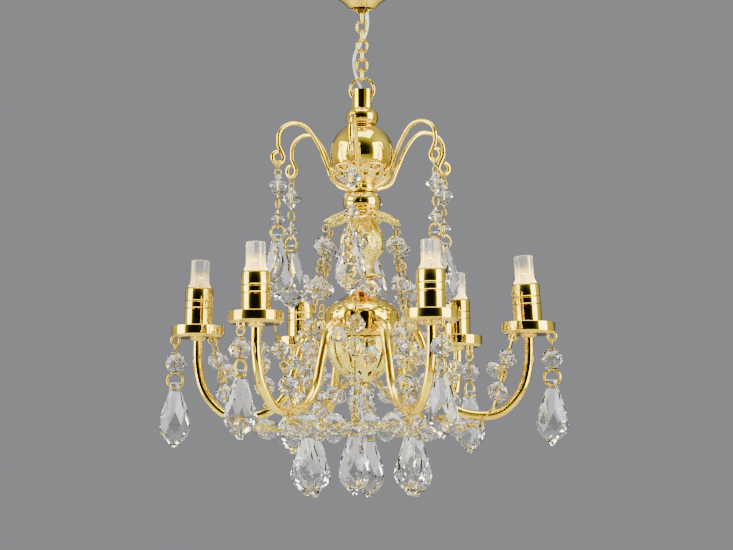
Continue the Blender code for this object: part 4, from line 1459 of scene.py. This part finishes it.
@dataclass
class CandleArms:
    """Six swept rods, each with its drip pan, candle tube and lamp."""

    reach: float = 28.1 * MM
    root: float = 5.0 * MM
    drop: float = 15.4 * MM
    rod: float = 1.6 * MM
    tip_rise: float = 2.6 * MM
    pan_radius: float = 4.45 * MM
    pan_height: float = 2.0 * MM
    pan_wall: float = 0.6 * MM
    eye_inset: float = 0.6 * MM
    eye_seat: float = 0.35 * MM
    eye_radius: float = 0.7 * MM
    eye_wire: float = 0.45 * MM
    candle_radius: float = 2.38 * MM
    candle_bore: float = 1.65 * MM
    lamp_radius: float = 1.55 * MM
    lamp_flange: float = 1.9 * MM
    lamp_height: float = 4.7 * MM
    leans: tuple[float, ...] = (4.0, 1.0, -1.5, 1.6, -1.0, 1.2)
    glows: tuple[float, ...] = (1.0, 0.95, 1.0, 0.45, 1.0, 0.9)
    sweep: tuple[tuple[float, float], ...] = (
        (0.0, 0.0),
        (0.07, 0.0),
        (0.1, 0.0),
        (0.19, -0.1),
        (0.273, -0.455),
        (0.34, -0.745),
        (0.46, -0.93),
        (0.628, -1.0),
        (0.8, -0.96),
        (0.94, -0.74),
        (0.996, -0.45),
    )

    @property
    def eye(self) -> tuple[float, float]:
        """The middle of a pan's eye: its distance from the column and its height."""
        return self.reach + self.pan_radius - self.eye_inset, self.pan_low - self.eye_radius + self.eye_seat

    def __post_init__(self) -> None:
        """Takes the pan's and candle's heights from the plain solids."""
        _, pan_top = heights("drip_pan_1")
        self.pan_low = pan_top - self.pan_height
        self.candle_low, self.candle_top = heights("candle_tube_1")
        self.port_z = self.pan_low + 1.9 * MM

    def arm(self) -> bpy.types.Object:
        """The rod, with a turned cup where it meets the pan."""
        span = self.reach - self.root
        points = [(self.root + out * span, 0, self.port_z + down * self.drop) for out, down in self.sweep]
        points.append((self.reach, 0, self.pan_low))
        points.append((self.reach, 0, self.pan_low + self.tip_rise))
        rod = wire("arm_model", curve_through(points, 8), self.rod, False, 6)
        half = self.rod / 2
        section = [
            (half - 0.1 * MM, self.pan_low - 0.02 * MM),
            (half + 0.62 * MM, self.pan_low - 0.02 * MM),
            (half + 0.5 * MM, self.pan_low - 0.28 * MM),
            (half + 0.16 * MM, self.pan_low - 0.5 * MM),
            (half - 0.1 * MM, self.pan_low - 0.62 * MM),
        ]
        cup = placed(spun("arm_cup", section, 32), shift(self.reach, 0, 0))
        return smooth(joined("arm_model", [rod, cup]), 40)

    def pan(self) -> bpy.types.Object:
        """The dished pan with a crisp upright rim and the eye beneath it."""
        wide, high, wall = self.pan_radius, self.pan_height, self.pan_wall
        bore = self.rod / 2 + 0.05 * MM
        section = [
            (wide, high),
            (wide, high * 0.2),
            (wide * 0.9, 0.0),
            (bore, 0.0),
            (bore, wall),
            (wide * 0.84, wall),
            (wide * 0.88, high),
        ]
        dish = spun("pan_model", section, 64)
        applied(dish, "BEVEL", width=0.12 * MM, segments=3, limit_method="ANGLE", angle_limit=0.5)
        placed(dish, shift(self.reach, 0, self.pan_low))
        eye = wire("eye_model", hoop(self.eye_radius, *self.eye, 32), self.eye_wire, True, 3)
        return smooth(joined("pan_model", [dish, eye]), 40)

    def candle(self) -> bpy.types.Object:
        """The tube with its chamfered mouth and two turned rings."""
        wide, low, high = self.candle_radius, self.candle_low, self.candle_top
        tall = high - low
        section = [(wide - 0.42 * MM, high), (wide - 0.1 * MM, high - 0.2 * MM), (wide, high - 0.42 * MM)]
        for share in (0.3, 0.46):
            ring = high - tall * share
            section += [
                (wide, ring + 0.17 * MM),
                (wide + 0.05 * MM, ring + 0.1 * MM),
                (wide - 0.14 * MM, ring + 0.03 * MM),
                (wide - 0.14 * MM, ring - 0.03 * MM),
                (wide + 0.05 * MM, ring - 0.1 * MM),
                (wide, ring - 0.17 * MM),
            ]
        section += [(wide, low + 0.1 * MM), (wide - 0.1 * MM, low), (self.candle_bore, low)]
        section.append((self.candle_bore, high))
        tube = spun("candle_model", section, 64)
        return smooth(tube, 28)

    def lamp(self) -> bpy.types.Object:
        """The clear flat-topped body with its flange."""
        top, wide = self.candle_top, self.lamp_radius
        tall = self.lamp_height
        section = [
            (0.0, top + tall),
            (wide - 0.22 * MM, top + tall),
            (wide - 0.07 * MM, top + tall - 0.06 * MM),
            (wide, top + tall - 0.24 * MM),
            (wide, top + 1.05 * MM),
            (wide + 0.06 * MM, top + 0.75 * MM),
            (self.lamp_flange - 0.03 * MM, top + 0.32 * MM),
            (self.lamp_flange, top + 0.12 * MM),
            (wide - 0.02 * MM, top + 0.1 * MM),
            (wide - 0.02 * MM, top - 1.5 * MM),
            (0.0, top - 1.6 * MM),
        ]
        return smooth(spun("lamp_model", section, 48, closed=False), 30)

    def lead_frame(self) -> bpy.types.Object:
        """The two posts inside the lamp, one with the reflector cup."""
        top = self.candle_top
        section = [(0.0, top + 0.75 * MM), (0.42 * MM, top + 0.8 * MM), (0.66 * MM, top + 1.5 * MM)]
        section += [(0.72 * MM, top + 1.5 * MM), (0.5 * MM, top + 0.6 * MM), (0.0, top + 0.5 * MM)]
        pieces = [placed(spun("cup_model", section, 24), shift(0.12 * MM, 0, 0))]
        for x, high, wide in ((0.16, 0.6, 0.5), (-0.85, 2.0, 0.34)):
            clear_selection()
            bpy.ops.mesh.primitive_cube_add(size=1.0, location=(x * MM, 0, top + (high - 1.4) * MM / 2))
            post = bpy.context.object
            bpy.ops.transform.resize(value=(wide * MM, 0.32 * MM, (high + 1.4) * MM))
            bpy.ops.object.transform_apply(location=True, rotation=True, scale=True)
            applied(post, "BEVEL", width=0.05 * MM, segments=2)
            pieces.append(post)
        return smooth(joined("frame_model", pieces), 40)

    def chip(self) -> bpy.types.Object:
        """The glowing chip in the reflector cup."""
        clear_selection()
        bpy.ops.mesh.primitive_uv_sphere_add(segments=20, ring_count=10, radius=0.46 * MM)
        dome = bpy.context.object
        edit(dome)
        bpy.ops.mesh.bisect(plane_co=(0, 0, -0.1 * MM), plane_no=(0, 0, 1), use_fill=True, clear_inner=True)
        close(dome)
        return smooth(placed(dome, shift(0.12 * MM, 0, self.candle_top + 1.2 * MM)), 50)

    def build(self, finishes: Finishes) -> None:
        """Models each piece once, then copies it to every arm."""
        rod, pan, candle = self.arm(), self.pan(), self.candle()
        lamp, frame, chip = self.lamp(), self.lead_frame(), self.chip()
        foot = shift(self.reach, 0, self.candle_low)
        for n in range(ARM_COUNT):
            number, bearing = n + 1, turn_z(n * ARM_STEP)
            lean = foot @ Matrix.Rotation(math.radians(-self.leans[n]), 4, "Y") @ foot.inverted()
            stand = bearing @ lean @ shift(self.reach, 0, 0)
            for model, node, slot, place in (
                (rod, f"arm_{number}", Slot.GILT, bearing),
                (pan, f"drip_pan_{number}", Slot.CANDLE, bearing),
                (candle, f"candle_tube_{number}", Slot.CANDLE, stand),
            ):
                dress(copied(model, f"{node}_fine", place), finishes.polish, "column", [node])
            resin = LampResin(
                f"lamp_resin_{number}", self.candle_top, self.candle_top + self.lamp_height, self.glows[n]
            ).material()
            body = copied(lamp, f"led_lamp_{number}_fine", stand)
            dress(body, resin, "column", [f"led_lamp_{number}"])
            inside = stand @ turn_z(0.5 + n)
            dress(copied(frame, f"lead_frame_{number}", inside), finishes.frame, "column")
            dress(copied(chip, f"lamp_chip_{number}", inside), finishes.chip, "column")
        for model in (rod, pan, candle, lamp, frame, chip):
            drop_model(model)


# ---------------------------------------------------------------- crystal strings


@dataclass
class CrystalCutter:
    """Cuts each stone once, with its upper end at the origin and its length down the Z axis."""

    sides: int = 8
    drop_length: float = 11.0 * MM
    drop_width: float = 5.5 * MM
    pin: float = 0.26 * MM
    loop_share: float = 0.36
    models: dict[str, bpy.types.Object] = field(default_factory=dict)

    def stone(
        self, name: str, bands: Sequence[tuple[float, float, float]], width: float, length: float
    ) -> str:
        """Cuts a faceted stone from an n-sided ring, drawn down band by band.

        Args:
            name: the model's name.
            bands: (share of the length down, share of the half width, turn in half facets).
            width: the stone's width.
            length: its length.

        Returns:
            The model's name.
        """
        clear_selection()
        half_facet = math.pi / self.sides
        down, wide, turn = bands[0]
        bpy.ops.mesh.primitive_circle_add(
            vertices=self.sides,
            radius=width / 2 * wide,
            fill_type="NGON",
            location=(0, 0, -down * length),
            rotation=(0, 0, turn * half_facet),
        )
        obj = bpy.context.object
        obj.name = name
        bpy.ops.object.transform_apply(location=True, rotation=True, scale=True)
        edit(obj)
        for band, before in zip(bands[1:], bands):
            step = (0, 0, -(band[0] - before[0]) * length)
            bpy.ops.mesh.extrude_region_move(TRANSFORM_OT_translate={"value": step})
            centre = (0, 0, -band[0] * length)
            share = band[1] / before[1]
            bpy.ops.transform.resize(value=(share, share, 1), center_override=centre)
            if band[2] != before[2]:
                angle = (band[2] - before[2]) * half_facet
                bpy.ops.transform.rotate(value=angle, orient_axis="Z", center_override=centre)
        bpy.ops.mesh.select_all(action="SELECT")
        bpy.ops.mesh.quads_convert_to_tris(quad_method="SHORTEST_DIAGONAL")
        close(obj)
        weld(obj, 1e-7)
        self.models[name] = obj
        return name

    def cut(self) -> None:
        """Cuts the drop, the bicone and the round bead, and bends one wire loop of radius 1."""
        pear = ((0.0, 0.31, 0), (0.02, 0.36, 0), (0.14, 0.4, 1), (0.45, 0.8, 0), (0.68, 1.0, 1))
        pear += ((0.8, 0.86, 0), (0.92, 0.46, 1), (1.0, 0.1, 1))
        self.stone("drop", pear, self.drop_width, self.drop_length)
        cone = ((0.0, 0.3, 0), (0.08, 0.38, 0), (0.46, 0.98, 0), (0.54, 0.98, 0))
        cone += ((0.92, 0.38, 0), (1.0, 0.3, 0))
        self.stone("bicone", cone, 1.0, 0.94)
        ball = ((0.0, 0.34, 0), (0.17, 0.74, 1), (0.42, 1.0, 0), (0.6, 1.0, 1))
        ball += ((0.85, 0.72, 0), (1.0, 0.34, 1))
        self.stone("round", ball, 1.0, 0.94)
        self.models["loop"] = wire("loop", hoop(1.0, 0, 0, 20), self.loop_share, True, 2)

    def put(self, kind: str, place: Matrix, size: float = 1.0) -> bpy.types.Object:
        """A copy of one model, scaled in its mesh and moved to its place."""
        scale = Matrix.Diagonal((size, size, size, 1.0))
        return copied(self.models[kind], f"{kind}_copy", place @ scale)

    def clear(self) -> None:
        """Puts the models away."""
        for model in self.models.values():
            drop_model(model)
        self.models.clear()


@dataclass
class HangingString:
    """A string in its own frame: a loop in an eye, stones on pins, and a drop in a jump ring."""

    cutter: CrystalCutter
    hook_wire: float
    hook_radius: float
    stones: tuple[tuple[str, float, float], ...]
    last_gap: float
    pin_wire: float = 0.3 * MM
    loop_radius: float = 0.75 * MM
    link_gap: float = 0.05 * MM

    def parts(self) -> tuple[bpy.types.Object, bpy.types.Object]:
        """Builds the string under its own origin.

        Returns:
            The glass and the wire.
        """
        cutter = self.cutter
        high = -self.hook_radius + (self.hook_wire + self.pin_wire) / 2 + self.link_gap
        centre = high - self.loop_radius
        scale = self.loop_radius
        loops = [cutter.put("loop", shift(0, 0, centre) @ turn_z(math.pi / 2), scale)]
        glass: list[bpy.types.Object] = []
        level = centre - self.loop_radius
        for number, (kind, gap, size) in enumerate(self.stones):
            if gap > 1.0 * MM:
                rings = 2 if gap > 3.0 * MM else 1
                radius = (gap - 0.2 * MM) / (rings * 2) if rings > 1 else gap / 2 - 0.05 * MM
                for k in range(rings):
                    middle = level - 0.05 * MM - radius * (2 * k + 1) - 0.08 * MM * k
                    spin = turn_z(math.pi / 2 * ((k + number) % 2))
                    loops.append(cutter.put("loop", shift(0, 0, middle) @ spin, min(radius, 0.85 * MM)))
            level -= gap
            length = size * 0.94
            glass.append(cutter.put(kind, shift(0, 0, level), size))
            pin = [Vector((0, 0, level + 0.35 * MM)), Vector((0, 0, level - length - 0.35 * MM))]
            loops.append(wire("pin", pin, cutter.pin, False, 1))
            level -= length
        ring = self.last_gap / 2 + 0.55 * MM
        loops.append(cutter.put("loop", shift(0, 0, level - ring + 0.12 * MM), ring))
        level -= self.last_gap
        glass.append(cutter.put("drop", shift(0, 0, level) @ turn_z(0.2)))
        return joined("string_glass", glass), joined("string_wire", loops)

    def hang(self, name: str, place: Matrix, finishes: Finishes) -> None:
        """Copies the string to its eye and dresses both pieces.

        Args:
            name: the string's name, which its body and its plain solid share.
            place: the eye's middle and bearing.
            finishes: the shared materials.
        """
        glass, metal = self.parts()
        glass.name, metal.name = f"{name}_glass", f"{name}_wire"
        dress(placed(glass, place), finishes.crystal, name, [name])
        dress(placed(metal, place), finishes.brass, name)


@dataclass
class CrystalNet:
    """Garlands, swags, pan strings and bottom drops, wired into one net on the column."""

    cutter: CrystalCutter
    arms: CandleArms
    node_radius: float = 10.0 * MM
    petal_tip: float = 6.95 * MM
    bowl_radius: float = 6.4 * MM
    standoff: float = 2.6 * MM
    basket_radius: float = 6.0 * MM
    strand_wire: float = 0.26 * MM
    loop: float = 0.62 * MM
    bead_hold: float = 0.46
    twig_hold: float = 0.4
    seed: int = 7

    def __post_init__(self) -> None:
        """Works out the knots from the arms' own sizes."""
        arms = self.arms
        self.tie_radius = arms.root + 0.628 * (arms.reach - arms.root)
        self.tie_z = arms.port_z - arms.drop - arms.rod / 2 - 0.6 * MM
        self.glass: list[bpy.types.Object] = []
        self.metal: list[bpy.types.Object] = []
        self.dice = random.Random(self.seed)

    def node(self, n: int) -> Vector:
        """The knot under crook n."""
        return at(self.node_radius, (n + 0.5) * ARM_STEP, self.tie_z)

    def tie(self, n: int) -> Vector:
        """The knot under arm n."""
        return at(self.tie_radius, n * ARM_STEP, self.tie_z)

    def strand(
        self,
        corners: Sequence[Vector],
        beads: Sequence[tuple[float, float]],
        rings: Sequence[float] = (),
        kind: str = "round",
    ) -> None:
        """Threads one strand.

        Args:
            corners: the strand's straight runs.
            beads: (share of the length, width) of each stone.
            rings: shares of the length where a wire loop joins two pins.
            kind: which stone it carries.
        """
        self.metal.append(wire("strand", corners, self.strand_wire, False, 1))
        lengths = [(b - a).length for a, b in zip(corners, corners[1:])]
        for share, width, piece in [(s, w, kind) for s, w in beads] + [(s, self.loop, "loop") for s in rings]:
            left = share * sum(lengths)
            for a, b, length in zip(corners, corners[1:], lengths):
                if left <= length:
                    break
                left -= length
            place, along = a.lerp(b, min(1.0, left / length)), (b - a).normalized()
            turn = facing(-along) @ turn_z(self.dice.uniform(0, 3))
            if piece == "loop":
                self.metal.append(self.cutter.put("loop", Matrix.Translation(place) @ turn, width))
            else:
                back = Matrix.Translation(place) @ turn @ shift(0, 0, self.bead_hold * width)
                self.glass.append(self.cutter.put(piece, back, width))

    def cluster(self, place: Vector, width: float, lean: Vector) -> None:
        """A companion stone on its own short pin beside a strand."""
        end = place + lean
        self.metal.append(wire("twig", [place, end], self.strand_wire, False, 1))
        back = Matrix.Translation(end) @ facing(-lean) @ shift(0, 0, self.twig_hold * width)
        self.glass.append(self.cutter.put("round", back, width))

    def garland(self, n: int) -> None:
        """From a petal's tip, past the bowl, to the knot under it."""
        bearing = (n + 0.5) * ARM_STEP
        low, _ = heights("petal_cap")
        top = at(self.petal_tip - 0.4 * MM, bearing, low - 0.1 * MM)
        past = at(self.bowl_radius + self.standoff, bearing, self.arms.port_z)
        beads = [(0.1, 3.4 * MM), (0.3, 3.4 * MM), (0.515, 3.4 * MM), (0.63, 3.4 * MM)]
        beads += [(0.79, 2.6 * MM), (0.9, 2.6 * MM)]
        self.strand([top, past, self.node(n)], beads, (0.01, 0.185, 0.22, 0.395, 0.43, 0.575, 0.71, 0.98))
        for share, side in ((0.33, 1), (0.56, -1), (0.66, 1)):
            middle = top.lerp(past, share * 2) if share < 0.5 else past.lerp(self.node(n), share * 2 - 1)
            lean = at(0.5 * MM, bearing, -0.4 * MM, side * 2.5 * MM)
            self.cluster(middle, 3.0 * MM, lean)

    def around(self, n: int) -> None:
        """The strings that leave one knot: to the basket, to both ties, and the drop below it."""
        bearing = (n + 0.5) * ARM_STEP
        low, _ = heights("lattice_basket")
        start = at(self.basket_radius * 0.5, bearing, low + 0.1 * MM)
        self.strand([start, self.node(n)], [(0.3, 3.0 * MM), (0.72, 2.4 * MM)], (0.04, 0.52))
        for side in (0, 1):
            first, last = self.node(n), self.tie(n + side)
            middle = (first + last) / 2 - Vector((0, 0, 0.9 * MM))
            beads = [(0.29, 3.7 * MM), (0.69, 3.7 * MM)]
            self.strand([first, middle, last], beads, (0.06, 0.49, 0.9))
        knot = self.node(n)
        self.metal.append(self.cutter.put("loop", Matrix.Translation(knot) @ turn_z(bearing), 0.8 * MM))
        ring = Matrix.Translation(knot - Vector((0, 0, 1.35 * MM))) @ turn_z(bearing + math.pi / 2)
        self.metal.append(self.cutter.put("loop", ring, 0.85 * MM))
        drop = Matrix.Translation(knot - Vector((0, 0, 1.0 * MM))) @ turn_z(bearing + 0.2)
        self.glass.append(self.cutter.put("drop", drop))

    def pan_strings(self, n: int) -> None:
        """From a pan's inner edge down both sides of the arm to the tie under it."""
        arms, bearing = self.arms, n * ARM_STEP
        inner = arms.reach - arms.pan_radius * 0.58
        for side in (-1, 1):
            top = at(inner, bearing, arms.pan_low - 0.05 * MM, side * 1.7 * MM)
            low = arms.port_z - arms.drop - arms.rod / 2 + 1.6 * MM
            beside = at(self.tie_radius + 2.6 * MM, bearing, low, side * 2.6 * MM)
            stones = [(0.23, 3.0 * MM), (0.57, 3.4 * MM)]
            self.strand([top, beside, self.tie(n)], stones, (0.03, 0.38, 0.42, 0.76))
            middle = top.lerp(beside, 0.42)
            self.cluster(middle, 2.4 * MM, at(-1.6 * MM, bearing, -0.5 * MM, side * 0.9 * MM))
        tied = Matrix.Translation(self.tie(n)) @ turn_z(bearing)
        self.metal.append(self.cutter.put("loop", tied, 0.8 * MM))

    def build(self, finishes: Finishes) -> None:
        """Threads the whole net and joins its glass and its wire."""
        for n in range(ARM_COUNT):
            self.garland(n)
            self.around(n)
            self.pan_strings(n)
        glass = joined("crystal_net_glass", self.glass)
        metal = joined("crystal_net_wire", self.metal)
        dress(glass, finishes.crystal, "column", ["crystal_web"])
        dress(metal, finishes.brass, "column", ["crystal_web"])


@dataclass
class Strings:
    """The twelve strings that swing: one under each crook and one under each pan."""

    cutter: CrystalCutter
    crown: CrookCrown
    arms: CandleArms

    def build(self, finishes: Finishes) -> None:
        """Hangs them all."""
        crown, arms = self.crown, self.arms
        stones = (("bicone", 1.25 * MM, 3.4 * MM), ("bicone", 2.9 * MM, 2.5 * MM))
        under_crook = HangingString(self.cutter, crown.wire_size, crown.eye_radius, stones, 1.35 * MM)
        bead = (("round", 0.3 * MM, 3.8 * MM),)
        under_pan = HangingString(self.cutter, arms.eye_wire, arms.eye_radius, bead, 1.6 * MM)
        eye, eye_z = arms.eye
        for n in range(ARM_COUNT):
            number, half = n + 1, (n + 0.5) * ARM_STEP
            place = Matrix.Translation(at(crown.reach, half, crown.eye_z)) @ turn_z(half)
            under_crook.hang(f"crook_string_{number}", place, finishes)
            place = Matrix.Translation(at(eye, n * ARM_STEP, eye_z)) @ turn_z(n * ARM_STEP)
            under_pan.hang(f"pan_pendant_{number}", place, finishes)


# ---------------------------------------------------------------- studio


@dataclass
class Studio:
    """A pale floor, soft boxes left, right and overhead, and the camera."""

    distance: float = 0.416
    bearing: float = 7.0
    level: float = -98.4 * MM
    pitch: float = 6.39
    yaw: float = 0.104
    lens: float = 121.6
    sensor: float = 36.0
    near: float = 0.01
    floor_z: float = -0.35
    backdrop: Triple = (0.27, 0.27, 0.285)
    middle: Triple = (0.0, 0.0, -0.05)
    boxes: tuple[tuple[str, Triple, tuple[float, float], float], ...] = (
        ("left_box", (-0.55, -0.18, 0.02), (0.42, 0.6), 7.4),
        ("right_box", (0.55, -0.2, 0.02), (0.42, 0.6), 8.0),
        ("top_box", (0.0, -0.12, 0.5), (0.6, 0.4), 5.0),
    )

    def camera(self) -> None:
        """Sets the camera low in front, looking a little up."""
        side = math.radians(self.bearing)
        bpy.ops.object.camera_add(
            location=(self.distance * math.sin(side), -self.distance * math.cos(side), self.level),
            rotation=(math.radians(90 + self.pitch), 0, math.radians(self.bearing - self.yaw)),
        )
        camera = bpy.context.object
        camera.name = "front_camera"
        camera.data.lens = self.lens
        camera.data.sensor_width = self.sensor
        camera.data.clip_start = self.near
        bpy.context.scene.camera = camera

    def softbox(self, name: str, place: Triple, aim: Triple, size: tuple[float, float], power: float) -> None:
        """One rectangular soft light.

        Args:
            name: its name.
            place: where it stands.
            aim: the point it faces.
            size: its width and height.
            power: its strength in watts.
        """
        turn = (Vector(aim) - Vector(place)).to_track_quat("-Z", "Y").to_euler()
        bpy.ops.object.light_add(type="AREA", location=place, rotation=turn)
        lamp = bpy.context.object
        lamp.name = name
        lamp.data.shape = "RECTANGLE"
        lamp.data.size, lamp.data.size_y = size
        lamp.data.energy = power
        lamp.data.color = (1.0, 0.985, 0.96)
        lamp.visible_camera = False

    def surround(self) -> None:
        """Grey all round for the camera; for reflections, bright sides and top and a dark front."""
        world = bpy.data.worlds.new("studio_surround")
        bpy.context.scene.world = world
        world.use_nodes = True
        tree = world.node_tree
        tree.nodes.clear()
        coords = tree.nodes.new("ShaderNodeTexCoord")
        split = tree.nodes.new("ShaderNodeSeparateXYZ")
        tree.links.new(coords.outputs["Generated"], split.inputs["Vector"])
        x, y, z = (Val(tree, split.outputs[axis]) for axis in "XYZ")
        sides = (x * x).smooth(0.2, 0.75)
        above = z.smooth(0.25, 0.85)
        front = (y * -1.0).smooth(0.55, 0.95)
        shine = (sides * 0.62 + above * 0.6 + 0.13) * (1.0 - front * 0.92)
        room = tree.nodes.new("ShaderNodeBackground")
        room.inputs["Color"].default_value = (1.0, 0.99, 0.97, 1.0)
        tree.links.new(shine.socket, room.inputs["Strength"])
        plain = tree.nodes.new("ShaderNodeBackground")
        plain.inputs["Color"].default_value = (*self.backdrop, 1.0)
        path = tree.nodes.new("ShaderNodeLightPath")
        mixed = tree.nodes.new("ShaderNodeMixShader")
        out = tree.nodes.new("ShaderNodeOutputWorld")
        through = Val(tree, path.outputs["Is Transmission Ray"])
        seen = Val(tree, path.outputs["Is Camera Ray"]) + through * 0.75
        tree.links.new(seen.socket, mixed.inputs[0])
        tree.links.new(room.outputs[0], mixed.inputs[1])
        tree.links.new(plain.outputs[0], mixed.inputs[2])
        tree.links.new(mixed.outputs[0], out.inputs["Surface"])

    def floor(self) -> None:
        """A pale sheet of paper far below, with a soft roll at its edge."""
        clear_selection()
        bpy.ops.mesh.primitive_grid_add(x_subdivisions=24, y_subdivisions=24, size=3.0, location=(0, 0, 0))
        sheet = bpy.context.object
        sheet.name = "paper_floor"
        moulded(sheet, lambda p: Vector((p.x, p.y, self.floor_z + 0.04 * max(0.0, p.length - 1.0) ** 2)))
        smooth(sheet, 40)
        paper = StudioCard("floor_paper", (0.78, 0.78, 0.79)).material()
        sheet.data.materials.append(paper)

    def build(self) -> None:
        """Sets up the whole studio."""
        self.camera()
        self.surround()
        for name, place, size, power in self.boxes:
            self.softbox(name, place, self.middle, size, power)
        self.floor()


def main() -> None:
    """Builds the chandelier's looks in order, then the studio."""
    logging.basicConfig(level=logging.INFO, format="%(name)s %(message)s")
    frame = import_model()
    nodes = frame["nodes"]
    Studio().build()
    finishes = Finishes()
    CeilingRose().build(finishes, nodes)
    chain = HangingChain()
    chain.build(finishes)
    TwinLead(chain).build(finishes)
    Column().build(finishes, nodes)
    crown = CrookCrown()
    crown.build(finishes)
    arms = CandleArms()
    arms.build(finishes)
    cutter = CrystalCutter()
    cutter.cut()
    Strings(cutter, crown, arms).build(finishes)
    CrystalNet(cutter, arms).build(finishes)
    cutter.clear()
    clear_selection()


if __name__ == "__main__":
    main()
